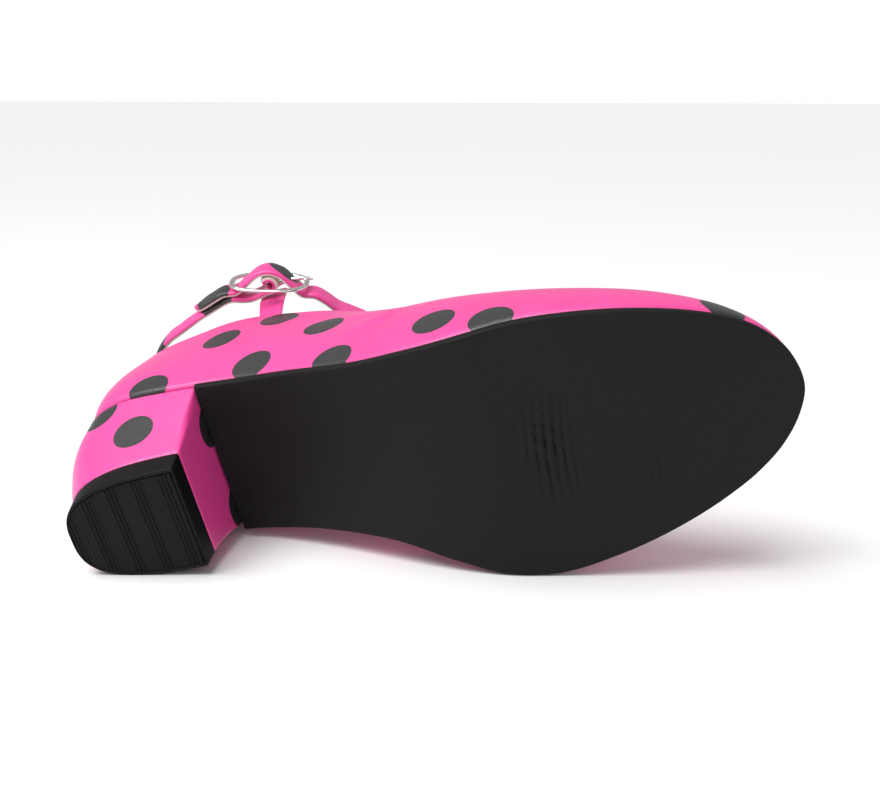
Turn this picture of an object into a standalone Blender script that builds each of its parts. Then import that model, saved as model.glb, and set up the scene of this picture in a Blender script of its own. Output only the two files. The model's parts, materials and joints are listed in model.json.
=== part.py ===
"""A child's flamenco shoe, the right one of its pair, lying on its inner side as on a floor.

The shoe is modelled standing: x runs from the back of the heel to the toe, y to the inner (medial)
side and z up from the ground, with its ground side on z = 0. An empty then lays it down on its
inner side, on the three points that carry it. Every length is in metres.
"""

import bmesh
import bpy
import numpy as np
from mathutils import Matrix, Vector

# Lengths of the sole
SHOE_LENGTH = 0.205
BALL_WIDTH = 0.0787
HEEL_HEIGHT = 0.030
TOE_SPRING = 0.0068
OUTSOLE_THICKNESS = 0.0028
INSOLE_THICKNESS = 0.0020
SEAT_LENGTH = 0.0381
SEAT_HALF_WIDTH = 0.0250
SEAT_SLOPE = 0.12
FLAT_START = 0.122
FLAT_END = 0.138

# Lengths of the heel and its lift
LIFT_THICKNESS = 0.0075
LIFT_LENGTH = 0.0349
LIFT_HALF_WIDTH = 0.0163
LIFT_FLARE = 0.0006
LIFT_CHAMFER = 0.0005

# Lengths of the upper
COLLAR_HEIGHT = 0.079
WALL = 0.0016
FEATHER_INSET = 0.0005
WALL_BULGE = 0.0030

# Lengths of the strap, its tab and its loop
STRAP_WIDTH = 0.008
STRAP_THICKNESS = 0.0020
STRAP_ABOVE_COLLAR = 0.0115
STRAP_RISE = 0.05
TAB_WIDTH = 0.0085
TAB_THICKNESS = 0.0012
TAB_SEAM = 0.009
TAB_BEHIND_BAR = 0.0049
LOOP_EASE = 0.0009

# Lengths of the buckle
BUCKLE_LENGTH = 0.0260
BUCKLE_HEIGHT = 0.0165
BUCKLE_WIRE = 0.0018
BAR_WIRE = 0.0015
PRONG_WIRE = 0.0014

# Pieces that meet keep this much air
GAP = 0.0003

# Roundness of the heel end and of the lift: the exponent of a superellipse, 2 being an ellipse
SEAT_ROUNDNESS = 3.8
LIFT_ROUNDNESS = 2.9

# Weight of each piece's material, in kilograms a cubic metre, which decides how the shoe lies
DENSITY = {
    "outsole": 1150.0,
    "heel_lift": 1200.0,
    "heel": 900.0,
    "upper": 900.0,
    "insole": 600.0,
    "ankle_strap": 900.0,
    "strap_tab_lateral": 900.0,
    "strap_loop_medial": 900.0,
    "buckle_frame": 7200.0,
    "buckle_prong": 7200.0,
}

# The sole's outline from the heel's breast to the toe: how far along the shoe, as a share of its
# length, and how far each side stands from the middle line, as a share of the ball's width
OUTLINE = (
    # along, medial, lateral
    (0.235, 0.3220, 0.3210),
    (0.337, 0.3240, 0.3540),
    (0.424, 0.3480, 0.3860),
    (0.504, 0.4257, 0.4295),
    (0.582, 0.5030, 0.4625),
    (0.637, 0.5260, 0.4740),
    (0.722, 0.4980, 0.4600),
    (0.810, 0.4360, 0.4140),
    (0.878, 0.3650, 0.3530),
    (0.927, 0.2950, 0.2880),
    (0.963, 0.2170, 0.2080),
    (0.989, 0.1200, 0.1060),
)
TOE_TIP = 0.032

# The upper's sections, from the back of the heel to the toe. Each runs from the sole's edge, at a
# share of the way along it, to a point of the topline: along the shoe as a share of its length,
# aside as a share of the ball's width, and up as a share of the collar's height. The wall leaves
# the sole upwards for rise, a share of its height, bulging outwards. It comes into the topline
# from reach, a share of the way back out to the sole's edge, and drop, a share of its height below,
# with its belly outwards. On the inner side the wall bulges further, by inner.
UPPER_SECTIONS = (
    # edge, along, medial, lateral, up, rise, bulge, reach, drop, belly, inner
    (0.000, 0.022, 0.000, 0.000, 1.000, 0.36, 1.0, 0.30, 0.34, 0.7, 0.0),
    (0.105, 0.045, 0.200, 0.195, 0.985, 0.36, 1.0, 0.25, 0.34, 0.7, 0.4),
    (0.235, 0.175, 0.290, 0.295, 0.965, 0.34, 1.0, 0.10, 0.34, 0.8, 1.0),
    (0.430, 0.330, 0.312, 0.312, 0.890, 0.36, 1.0, 0.12, 0.32, 0.8, 1.0),
    (0.560, 0.420, 0.316, 0.312, 0.770, 0.38, 1.0, 0.22, 0.26, 0.7, 0.4),
    (0.660, 0.480, 0.298, 0.290, 0.695, 0.40, 1.0, 0.34, 0.18, 0.8, 0.0),
    (0.790, 0.532, 0.236, 0.226, 0.655, 0.45, 1.0, 0.42, 0.22, 0.7, 0.0),
    (0.915, 0.564, 0.132, 0.130, 0.635, 0.48, 0.8, 0.46, 0.30, 0.4, 0.0),
    (1.000, 0.577, 0.000, 0.000, 0.628, 0.50, 0.6, 0.48, 0.33, 0.2, 0.0),
)

# The heel's sections from the lift to the seat: height as a share of the heel's, how far the
# size has gone from the lift's to the seat's, and how far the back swells beyond it
HEEL_SWELL = 0.0036
HEEL_SECTIONS = (
    # height, size, swell
    (0.00, 0.00, 0.0),
    (0.25, 0.25, 0.6),
    (0.50, 0.50, 1.0),
    (0.75, 0.75, 0.9),
    (1.00, 1.00, 0.2),
)

# The strap's way around the ankle, seen from above, from just behind the buckle round the back
# and the inner side to just before the buckle: shares of the shoe's length and the ball's width
STRAP_ROUTE = (
    # along, aside
    (0.172, -0.330),
    (0.118, -0.277),
    (0.072, -0.215),
    (0.042, -0.105),
    (0.038, 0.060),
    (0.066, 0.215),
    (0.128, 0.300),
    (0.210, 0.322),
    (0.300, 0.295),
    (0.380, 0.205),
    (0.425, 0.090),
    (0.424, -0.030),
    (0.398, -0.125),
    (0.364, -0.196),
)
BUCKLE_ALONG = 0.267
BUCKLE_ASIDE = -0.372

# How far the buckle is turned about its bar, its front end towards the ankle's front, in degrees
BUCKLE_TURN = 15.0

# The strap's hump over the bar: where it leaves the frame's plane, twice, where it crosses that
# plane and where it turns flat, as shares of half the buckle's length from the bar. With the last
# two goes how far out it stands there, as a share of its height over the bar.
HUMP_LEAVES = (1.12, 0.86)
HUMP_CROSSES = (0.56, 0.10)
HUMP_TURNS = (0.26, 0.80)

# Where the strap goes from its eye round the bar to its first stretch, as shares of half the
# buckle's length and of the way in to that stretch
EYE_LEAVES = (0.42, 0.92)

# The hole that the prong passes through, as shares of half the buckle's length from its bar
PRONG_HOLE = (0.34, 0.77)

# The prong's way from its turn round the bar over the frame: along as shares of half the buckle's
# length, out as shares of its height over the frame's plane
PRONG_ROUTE = ((0.35, 0.20), (0.75, 1.00), (1.10, 1.00))

# Where the outer tab bends from the topline to the strap, as shares of the way aside and up
TAB_BEND = (0.3, 0.4)

# Roundness of the buckle's frame: the exponent of its superellipse
FRAME_ROUNDNESS = 2.6

# Number of steps along each piece
UPPER_STEPS = 40
UPPER_ROWS = 8
SOLE_STEPS = 26
SOLE_ROWS = 6
HEEL_STEPS = 36
ARC_STEPS = 240
ARC_KEPT = 20
STRAP_STEPS = 3
EYE_STEPS = 9
FRAME_STEPS = 36
PRONG_STEPS = 25
DENSE = 24

COLOURS = {
    "hot pink": ((0.83, 0.045, 0.26, 1.0), 0.38, 0.0),
    "black rubber": ((0.012, 0.012, 0.013, 1.0), 0.6, 0.0),
    "cream lining": ((0.80, 0.74, 0.66, 1.0), 0.8, 0.0),
    "bright metal": ((0.80, 0.80, 0.80, 1.0), 0.18, 1.0),
}


def cubic(knots, values, at):
    """A curve through every row of values: cubic arcs, each row's slope that of its neighbours."""
    knots = np.asarray(knots, float)
    values = np.asarray(values, float)
    slopes = np.gradient(values, knots, axis=0)
    cell = np.clip(np.searchsorted(knots, at, side="right") - 1, 0, len(knots) - 2)
    span = knots[cell + 1] - knots[cell]
    t = (at - knots[cell]) / span
    if values.ndim > 1:
        t = t[:, None]
        span = span[:, None]
    start = (2 * t**3 - 3 * t**2 + 1) * values[cell] + (t**3 - 2 * t**2 + t) * span * slopes[cell]
    end = (3 * t**2 - 2 * t**3) * values[cell + 1] + (t**3 - t**2) * span * slopes[cell + 1]
    return start + end


def lengths_along(points):
    """How far along a line of points each one lies."""
    steps = np.linalg.norm(np.diff(points, axis=0), axis=1)
    return np.concatenate([[0.0], np.cumsum(steps)])


def evenly(points, count):
    """The line of points as count points at even distances, with its ends kept."""
    along = lengths_along(points)
    at = np.linspace(0.0, along[-1], count)
    return np.stack([np.interp(at, along, column) for column in points.T], axis=1)


def through(points, dense=DENSE):
    """A smooth line through the points, with dense steps between two of them."""
    along = lengths_along(points)
    at = np.interp(
        np.arange((len(points) - 1) * dense + 1) / dense, np.arange(len(points)), along
    )
    return cubic(along, points, at)


def sole_height(x):
    """Height of the outsole's underside: the heel seat, the shank's curve, the flat, the spring."""
    x = np.asarray(x, float)
    seat = HEEL_HEIGHT + SEAT_SLOPE * (SEAT_LENGTH - x)
    shank = FLAT_START - SEAT_LENGTH
    t = np.clip((x - SEAT_LENGTH) / shank, 0.0, 1.0)
    fall = (2 * t**3 - 3 * t**2 + 1) * HEEL_HEIGHT - (t**3 - 2 * t**2 + t) * shank * SEAT_SLOPE
    spring = TOE_SPRING * (np.clip(x - FLAT_END, 0.0, None) / (SHOE_LENGTH - FLAT_END)) ** 2
    return np.where(x < SEAT_LENGTH, seat, fall + spring)


def seat_height(x):
    """Height of the surface that carries the upper and the insole, on the heel and the outsole."""
    step = 1e-4
    slope = (sole_height(x + step) - sole_height(x - step)) / (2 * step)
    return sole_height(x) + OUTSOLE_THICKNESS * np.hypot(1.0, slope)


def heel_arc(length, half_width, roundness, count):
    """One side of a heel seen from above, from the back to the front corner: a superellipse."""
    angle = np.linspace(0.0, np.pi / 2, count)
    x = length * (1.0 - np.cos(angle) ** (2.0 / roundness))
    y = half_width * np.sin(angle) ** (2.0 / roundness)
    return evenly(np.stack([x, y], axis=1), count)


def outline_side(column, sign):
    """One side of the sole's outline, from the back of the heel to the tip of the toe."""
    heel = heel_arc(SEAT_LENGTH, SEAT_HALF_WIDTH, SEAT_ROUNDNESS, ARC_STEPS)[::ARC_KEPT]
    rows = [(row[0] * SHOE_LENGTH, row[column] * BALL_WIDTH) for row in OUTLINE]
    side = np.array([tuple(point) for point in heel] + rows)
    side[:, 1] *= sign
    return side


def outline():
    """The sole's closed outline as a dense line: back of the heel, inner side, toe, outer side."""
    medial = outline_side(1, 1.0)
    lateral = outline_side(2, -1.0)
    tip = np.array([[SHOE_LENGTH, TOE_TIP * BALL_WIDTH]])
    ring = np.concatenate([medial, tip, lateral[:0:-1]])
    lead = 3
    wrapped = np.concatenate([ring[-lead:], ring, ring[: lead + 1]])
    dense = through(wrapped)
    return dense[lead * DENSE : (lead + len(ring)) * DENSE + 1]


def inset_sides(inset, count, start=None):
    """Both sides of the outline, moved inwards, as count even points from start to the toe."""
    ring = outline()
    ahead = np.gradient(ring, axis=0)
    ahead /= np.linalg.norm(ahead, axis=1)[:, None]
    inner = ring + inset * np.stack([ahead[:, 1], -ahead[:, 0]], axis=1)
    tip = int(np.argmax(inner[:, 0]))
    sides = []
    for side in (inner[: tip + 1], inner[tip:][::-1]):
        if start is not None:
            first = np.interp(start, side[:, 0], side[:, 1])
            side = np.concatenate([[[start, first]], side[side[:, 0] > start]])
        sides.append(evenly(side, count))
    return sides


def new_object(name, mesh, material, collection, parent):
    obj = bpy.data.objects.new(name, mesh)
    mesh.materials.append(material)
    collection.objects.link(obj)
    obj.parent = parent
    return obj


def grid_mesh(name, rows, close_rows=False, close_columns=False):
    """A mesh over rows of points, as a loft; closed round the rows or the columns where asked."""
    rows = np.asarray(rows)
    count, width = rows.shape[:2]
    mesh = bpy.data.meshes.new(name)
    bm = bmesh.new()
    verts = [[bm.verts.new(point) for point in row] for row in rows.tolist()]
    for i in range(count if close_rows else count - 1):
        for j in range(width if close_columns else width - 1):
            corners = (
                verts[i][j],
                verts[(i + 1) % count][j],
                verts[(i + 1) % count][(j + 1) % width],
                verts[i][(j + 1) % width],
            )
            bm.faces.new(corners)
    bmesh.ops.remove_doubles(bm, verts=bm.verts, dist=1e-6)
    bm.to_mesh(mesh)
    bm.free()
    return mesh


def closed_loft(name, rings):
    """A solid through rings of as many points each, with a flat cap at both ends."""
    mesh = grid_mesh(name, rings, close_columns=True)
    bm = bmesh.new()
    bm.from_mesh(mesh)
    bmesh.ops.holes_fill(bm, edges=bm.edges, sides=0)
    bmesh.ops.recalc_face_normals(bm, faces=bm.faces)
    bm.to_mesh(mesh)
    bm.free()
    return mesh


def smooth_shade(mesh, degrees=40.0):
    mesh.shade_smooth()
    mesh.set_sharp_from_angle(angle=np.radians(degrees))


def thicken(obj, thickness, offset):
    """A wall on the object's surface, to the side that offset gives along its normals."""
    wall = obj.modifiers.new("wall", "SOLIDIFY")
    wall.thickness = thickness
    wall.offset = offset
    wall.use_even_offset = True
    wall.use_quality_normals = True


def sole_sheet(name, inset, start, lift):
    """The sheet over the sole's outline, rows across it, at the height that lift(x) gives."""
    medial, lateral = inset_sides(inset, SOLE_STEPS + 1, start)
    across = np.linspace(0.0, 1.0, SOLE_ROWS + 1)[None, :, None]
    plan = lateral[:, None, :] * (1.0 - across) + medial[:, None, :] * across
    height = lift(plan[..., 0])[..., None]
    return grid_mesh(name, np.concatenate([plan, height], axis=2))


def make_outsole(material, collection, parent):
    """Rubber sheet from the heel's breast to the toe: its underside, thickened upwards."""
    mesh = sole_sheet("outsole", 0.0, SEAT_LENGTH + GAP, sole_height)
    obj = new_object("outsole", mesh, material, collection, parent)
    thicken(obj, OUTSOLE_THICKNESS, 1.0)
    smooth_shade(mesh)
    return obj


def make_insole(material, collection, parent):
    """Board with its sock, inside the upper's wall, on the outsole and the heel's seat."""
    inset = FEATHER_INSET + WALL + 2 * GAP
    mesh = sole_sheet("insole", inset, None, lambda x: seat_height(x) + GAP)
    obj = new_object("insole", mesh, material, collection, parent)
    thicken(obj, INSOLE_THICKNESS, 1.0)
    smooth_shade(mesh)
    return obj


def heel_ring(plan, height):
    """A level or sloping ring of points over a plan, where height is a function of x."""
    return np.concatenate([plan, height(plan[:, 0])[:, None]], axis=1)


def both_sides(arc):
    """The D of a heel seen from above: the outer corner, round the back, to the inner corner."""
    outer = arc[::-1] * np.array([1.0, -1.0])
    return np.concatenate([outer, arc[1:]])


def make_heel_lift(material, collection, parent):
    """Rubber top piece under the heel, with a small chamfer round its ground face."""
    half = HEEL_STEPS // 2 + 1
    rings = []
    for height, growth in (
        (0.0, -LIFT_CHAMFER),
        (LIFT_CHAMFER, 0.0),
        (LIFT_THICKNESS, LIFT_FLARE),
    ):
        arc = heel_arc(LIFT_LENGTH + growth, LIFT_HALF_WIDTH + growth, LIFT_ROUNDNESS, half)
        arc[:, 0] -= min(growth, 0.0)
        ring = both_sides(arc)
        rings.append(heel_ring(ring, lambda x, z=height: np.full_like(x, z)))
    obj = new_object("heel_lift", closed_loft("heel_lift", rings), material, collection, parent)
    smooth_shade(obj.data)
    return obj


def make_heel(material, collection, parent):
    """Covered block heel, a loft from the lift's outline to the heel seat's."""
    half = HEEL_STEPS // 2 + 1
    foot = both_sides(
        heel_arc(LIFT_LENGTH + LIFT_FLARE, LIFT_HALF_WIDTH + LIFT_FLARE, LIFT_ROUNDNESS, half)
    )
    seat = both_sides(heel_arc(SEAT_LENGTH, SEAT_HALF_WIDTH, SEAT_ROUNDNESS, half))
    seat[:, 1] *= 1.0 - 2 * FEATHER_INSET / SEAT_HALF_WIDTH
    low = LIFT_THICKNESS + GAP
    rings = []
    for height, size, swell in HEEL_SECTIONS:
        plan = foot * (1.0 - size) + seat * size
        back = np.clip(1.0 - plan[:, 0] / SEAT_LENGTH, 0.0, 1.0)
        plan[:, 0] -= HEEL_SWELL * swell * back**2
        rings.append(
            heel_ring(plan, lambda x, s=height: low * (1.0 - s) + seat_height(x) * s)
        )
    obj = new_object("heel", closed_loft("heel", rings), material, collection, parent)
    smooth_shade(obj.data)
    return obj


def upper_columns():
    """The section table as smooth functions round the shoe: one row for each step of the edge."""
    table = np.array(UPPER_SECTIONS)
    edge = table[:, 0]
    inner = table[:, 10]
    medial = np.delete(table, (0, 3, 10), axis=1)
    lateral = np.delete(table, (0, 2, 10), axis=1)
    medial[:, 4] += inner
    medial[:, 7] += inner
    lateral[:, 1] *= -1.0
    knots = np.concatenate([edge, 2.0 - edge[-2::-1]])
    rows = np.concatenate([medial, lateral[-2::-1]])
    knots = np.concatenate([knots[-4:-1] - 2.0, knots, knots[1:4] + 2.0])
    rows = np.concatenate([rows[-4:-1], rows, rows[1:4]])
    at = np.arange(2 * UPPER_STEPS) / UPPER_STEPS
    return cubic(knots, rows, at).T


def upper_surface(rows):
    """The upper's outer surface, from the sole's edge to the topline, as a grid of points."""
    along, aside, up, rise, bulge, reach, drop, belly = upper_columns()
    medial, lateral = inset_sides(FEATHER_INSET, UPPER_STEPS + 1)
    plan = np.concatenate([medial, lateral[-2:0:-1]])
    edge = heel_ring(plan, lambda x: seat_height(x) + GAP)
    top = np.stack([along * SHOE_LENGTH, aside * BALL_WIDTH, up * COLLAR_HEIGHT], axis=1)
    ahead = np.roll(plan, -1, axis=0) - np.roll(plan, 1, axis=0)
    out = np.stack([-ahead[:, 1], ahead[:, 0], np.zeros(len(plan))], axis=1)
    out /= np.linalg.norm(out, axis=1)[:, None]
    height = top[:, 2] - edge[:, 2]
    rising = edge + out * (WALL_BULGE * bulge)[:, None]
    rising[:, 2] += rise * height
    coming = top + (edge - top) * reach[:, None] + out * (WALL_BULGE * belly)[:, None]
    coming[:, 2] = top[:, 2] - drop * height
    t = np.linspace(0.0, 1.0, rows + 1)[None, :, None]
    return (
        (1 - t) ** 3 * edge[:, None]
        + 3 * t * (1 - t) ** 2 * rising[:, None]
        + 3 * t**2 * (1 - t) * coming[:, None]
        + t**3 * top[:, None]
    )


def make_upper(material, collection, parent):
    """Upper of one wall, open at the collar and underneath, where the sole closes it."""
    mesh = grid_mesh("upper", upper_surface(UPPER_ROWS)[:, ::-1], close_rows=True)
    obj = new_object("upper", mesh, material, collection, parent)
    thicken(obj, WALL, -1.0)
    smooth_shade(mesh, 50.0)
    return obj


def strap_level(x):
    """Height of the strap's middle line, which rises a little towards the toe."""
    middle = COLLAR_HEIGHT + STRAP_ABOVE_COLLAR
    return middle + STRAP_RISE * (x - BUCKLE_ALONG * SHOE_LENGTH)


def bar_place():
    """Middle of the buckle's bar, seen from above."""
    return np.array([BUCKLE_ALONG * SHOE_LENGTH, BUCKLE_ASIDE * BALL_WIDTH])


def beside_bar(offsets):
    """Places seen from above, from steps along the buckle and out of its plane, off its bar."""
    turn = np.radians(BUCKLE_TURN)
    along = np.array([np.cos(turn), np.sin(turn)])
    aside = np.array([-np.sin(turn), np.cos(turn)])
    offsets = np.asarray(offsets, float)
    return bar_place() + offsets[:, :1] * along + offsets[:, 1:] * aside


def eye_radius():
    """Radius of the strap's middle line where its end turns round the bar."""
    return BAR_WIRE / 2 + GAP + STRAP_THICKNESS / 2


def under_frame():
    """How far inside the frame's wire the strap's middle line passes."""
    return (BUCKLE_WIRE + STRAP_THICKNESS) / 2 + 2 * GAP


def strap_line():
    """The strap's middle line from above: its eye round the bar, back along the outer side, round
    the ankle, out through the buckle, over the bar in a hump, and its tip over its first stretch.
    """
    layer = STRAP_THICKNESS + 2 * GAP
    side = BUCKLE_LENGTH / 2
    over = eye_radius() + layer
    inside = under_frame()
    turn = np.radians(np.linspace(-150.0, 90.0, EYE_STEPS))
    eye = beside_bar(eye_radius() * np.stack([np.cos(turn), np.sin(turn)], axis=1))
    route = np.array(STRAP_ROUTE) * np.array([SHOE_LENGTH, BALL_WIDTH])
    leaves = (-EYE_LEAVES[0] * side, EYE_LEAVES[1] * (inside + layer))
    first = beside_bar([leaves, (-side, inside + layer + GAP)])
    rising = np.array(
        [
            (HUMP_LEAVES[0] * side, inside + 2 * GAP),
            (HUMP_LEAVES[1] * side, inside + GAP),
            (HUMP_CROSSES[0] * side, -HUMP_CROSSES[1] * over),
            (HUMP_TURNS[0] * side, -HUMP_TURNS[1] * over),
            (0.0, -over),
        ]
    )
    falling = rising[-2::-1] * np.array([-1.0, 1.0])
    hump = beside_bar(np.concatenate([rising, falling]))
    ahead = (route[1] - first[1]) / np.linalg.norm(route[1] - first[1])
    out = np.array([-ahead[1], ahead[0]])
    tip = [route[0] + out * layer, (route[0] + route[1]) / 2 + out * layer]
    return through(np.concatenate([eye, first, route, hump, tip]), STRAP_STEPS)


def ribbon(name, line, across, thickness, width):
    """A flat band along a line: its width lies along across, its thickness square to both."""
    ahead = np.gradient(line, axis=0)
    ahead /= np.linalg.norm(ahead, axis=1)[:, None]
    flat = np.cross(ahead, across)
    flat /= np.linalg.norm(flat, axis=1)[:, None]
    rings = np.stack(
        [
            line + flat * (thickness / 2 * a) + across * (width / 2 * b)
            for a, b in ((1, 1), (-1, 1), (-1, -1), (1, -1))
        ],
        axis=1,
    )
    return closed_loft(name, rings)


def wire(name, points, diameter, closed, sides=2):
    """A round wire through the points, as a mesh."""
    curve = bpy.data.curves.new(name, "CURVE")
    curve.dimensions = "3D"
    curve.bevel_depth = diameter / 2
    curve.bevel_resolution = sides
    curve.use_fill_caps = True
    spline = curve.splines.new("POLY")
    spline.points.add(len(points) - 1)
    for point, place in zip(spline.points, points):
        point.co = (*place, 1.0)
    spline.use_cyclic_u = closed
    guide = bpy.data.objects.new(name, curve)
    bpy.context.scene.collection.objects.link(guide)
    shape = guide.evaluated_get(bpy.context.evaluated_depsgraph_get())
    mesh = bpy.data.meshes.new_from_object(shape)
    mesh.name = name
    bpy.data.objects.remove(guide)
    bpy.data.curves.remove(curve)
    bm = bmesh.new()
    bm.from_mesh(mesh)
    bmesh.ops.remove_doubles(bm, verts=bm.verts, dist=1e-6)
    bmesh.ops.recalc_face_normals(bm, faces=bm.faces)
    bm.to_mesh(mesh)
    bm.free()
    return mesh


def boolean(obj, tool, operation, collection, parent):
    """Joins a tool mesh to the object or cuts it away, and keeps the tool out of the render."""
    other = bpy.data.objects.new(tool.name, tool)
    collection.objects.link(other)
    other.parent = parent
    other.hide_render = True
    other.display_type = "WIRE"
    step = obj.modifiers.new(tool.name, "BOOLEAN")
    step.operation = operation
    step.object = other


def box_mesh(name, low, high):
    """A box between two corners, turned about the buckle's bar as the buckle is."""
    mesh = bpy.data.meshes.new(name)
    bm = bmesh.new()
    bmesh.ops.create_cube(bm, size=1.0)
    low, high = Vector(low), Vector(high)
    bmesh.ops.scale(bm, vec=high - low, verts=bm.verts)
    bmesh.ops.translate(bm, vec=(low + high) / 2, verts=bm.verts)
    turn = Matrix.Rotation(np.radians(BUCKLE_TURN), 3, "Z")
    bmesh.ops.rotate(bm, cent=(*bar_place(), 0.0), matrix=turn, verts=bm.verts)
    bm.to_mesh(mesh)
    bm.free()
    return mesh


def make_strap(material, collection, cutters, parent):
    """Ankle strap of one band, with a slot in its eye and a hole, both for the prong."""
    line = heel_ring(strap_line(), strap_level)
    mesh = ribbon("ankle_strap", line, np.array([0.0, 0.0, 1.0]), STRAP_THICKNESS, STRAP_WIDTH)
    obj = new_object("ankle_strap", mesh, material, collection, parent)
    x, y = bar_place()
    half = PRONG_WIRE / 2 + GAP
    low, high = strap_level(x) - half, strap_level(x) + half
    reach = eye_radius() + STRAP_THICKNESS / 2 + GAP / 2
    slot = box_mesh("prong_slot", (x - reach, y - reach, low), (x + reach, y + reach, high))
    boolean(obj, slot, "DIFFERENCE", cutters, parent)
    near, far = (x + share * BUCKLE_LENGTH / 2 for share in PRONG_HOLE)
    hole = box_mesh("prong_hole", (near, y - 2 * reach, low), (far, y + reach, high))
    boolean(obj, hole, "DIFFERENCE", cutters, parent)
    smooth_shade(mesh)
    return obj


def make_buckle_frame(material, collection, cutters, parent):
    """Oval wire frame with its bar across the middle."""
    x, y = bar_place()
    angle = np.linspace(0.0, 2 * np.pi, FRAME_STEPS + 1)[:-1]
    across = (BUCKLE_LENGTH - BUCKLE_WIRE) / 2
    tall = (BUCKLE_HEIGHT - BUCKLE_WIRE) / 2
    power = 2.0 / FRAME_ROUNDNESS
    along = across * np.sign(np.cos(angle)) * np.abs(np.cos(angle)) ** power
    above = tall * np.sign(np.sin(angle)) * np.abs(np.sin(angle)) ** power
    plan = beside_bar(np.stack([along, np.zeros_like(along)], axis=1))
    ring = heel_ring(plan, strap_level)
    ring[:, 2] += above
    frame = wire("buckle_frame", ring, BUCKLE_WIRE, True)
    obj = new_object("buckle_frame", frame, material, collection, parent)
    level = strap_level(x)
    bar = wire("buckle_bar", [(x, y, level - tall), (x, y, level + tall)], BAR_WIRE, False)
    boolean(obj, bar, "UNION", cutters, parent)
    smooth_shade(frame)
    return obj


def make_buckle_prong(material, collection, parent):
    """Wire prong: a turn round the bar, then out through the strap's hole and over the frame."""
    radius = (BAR_WIRE + PRONG_WIRE) / 2 + GAP
    over = (BUCKLE_WIRE + PRONG_WIRE) / 2 + GAP
    side = BUCKLE_LENGTH / 2
    turn = np.radians(np.linspace(330.0, 80.0, 10))
    coil = radius * np.stack([np.cos(turn), np.sin(turn)], axis=1)
    shank = np.array(PRONG_ROUTE) * np.array([side, -over])
    plan = evenly(through(beside_bar(np.concatenate([coil, shank])), 6), PRONG_STEPS + 1)
    level = strap_level(bar_place()[0])
    line = heel_ring(plan, lambda along: np.full_like(along, level))
    prong = wire("buckle_prong", line, PRONG_WIRE, False)
    obj = new_object("buckle_prong", prong, material, collection, parent)
    smooth_shade(prong)
    return obj


def topline(x, side):
    """How far aside the topline stands at x on the medial (1) or lateral (-1) side, and how high."""
    top = upper_surface(1)[:, -1]
    line = top[: UPPER_STEPS + 1] if side > 0 else np.roll(top[::-1], 1, axis=0)[: UPPER_STEPS + 1]
    return np.interp(x, line[:, 0], line[:, 1]), np.interp(x, line[:, 0], line[:, 2])


def carrier(name, x, side, plan, material, collection, parent):
    """A strip of the upper's material along a line of (aside, up) points, as wide as the tab."""
    line = np.array([(x, side * aside, up) for aside, up in plan])
    across = np.array([1.0, 0.0, 0.0])
    mesh = ribbon(name, line, across, TAB_THICKNESS, TAB_WIDTH)
    obj = new_object(name, mesh, material, collection, parent)
    smooth_shade(mesh)
    return obj


def make_strap_tab(material, collection, parent):
    """Outer tab: sewn inside the topline, up behind the strap at the buckle."""
    x, y = bar_place()
    aside, top = topline(x, -1)
    seam = -aside - WALL - GAP - TAB_THICKNESS / 2
    behind = -y - TAB_BEHIND_BAR
    level = strap_level(x)
    low = level - STRAP_WIDTH / 2
    plan = [
        (seam, top - TAB_SEAM),
        (seam, top - TAB_SEAM / 2),
        (seam, top),
        (seam + TAB_BEND[0] * (behind - seam), top + TAB_BEND[1] * (low - top)),
        (behind, low),
        (behind, level),
        (behind, level + STRAP_WIDTH / 2),
    ]
    return carrier("strap_tab_lateral", x, -1, plan, material, collection, parent)


def make_strap_loop(material, collection, parent):
    """Inner loop: sewn inside the topline, round the strap and back to itself."""
    route = through(np.array(STRAP_ROUTE) * np.array([SHOE_LENGTH, BALL_WIDTH]), 8)
    x = bar_place()[0]
    inner = route[route[:, 1] > 0]
    middle = float(np.interp(x, inner[:, 0], inner[:, 1]))
    aside, top = topline(x, 1)
    seam = aside - WALL - GAP - TAB_THICKNESS / 2
    clear = STRAP_THICKNESS / 2 + LOOP_EASE + TAB_THICKNESS / 2
    tall = STRAP_WIDTH / 2 + 2 * GAP + TAB_THICKNESS / 2
    level = strap_level(x)
    low, high = level - tall, level + tall
    plan = [
        (seam, top - TAB_SEAM),
        (seam, top),
        (middle - clear, low),
        (middle - clear, level),
        (middle - clear, high),
        (middle + clear, high),
        (middle + clear, level),
        (middle + clear, low),
        (middle - clear + TAB_THICKNESS + 2 * GAP, low),
    ]
    return carrier("strap_loop_medial", x, 1, plan, material, collection, parent)


def measure(obj):
    """A solid's volume, its centre and its points, from the tetrahedra under its triangles."""
    shape = obj.evaluated_get(bpy.context.evaluated_depsgraph_get()).to_mesh()
    bm = bmesh.new()
    bm.from_mesh(shape)
    bmesh.ops.triangulate(bm, faces=bm.faces)
    corners = np.array([[tuple(vert.co) for vert in face.verts] for face in bm.faces])
    bm.free()
    volumes = np.einsum("ij,ij->i", corners[:, 0], np.cross(corners[:, 1], corners[:, 2])) / 6
    centres = corners.sum(axis=1) / 4
    volume = volumes.sum()
    return volume, (volumes[:, None] * centres).sum(axis=0) / volume, corners.reshape(-1, 3)


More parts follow.
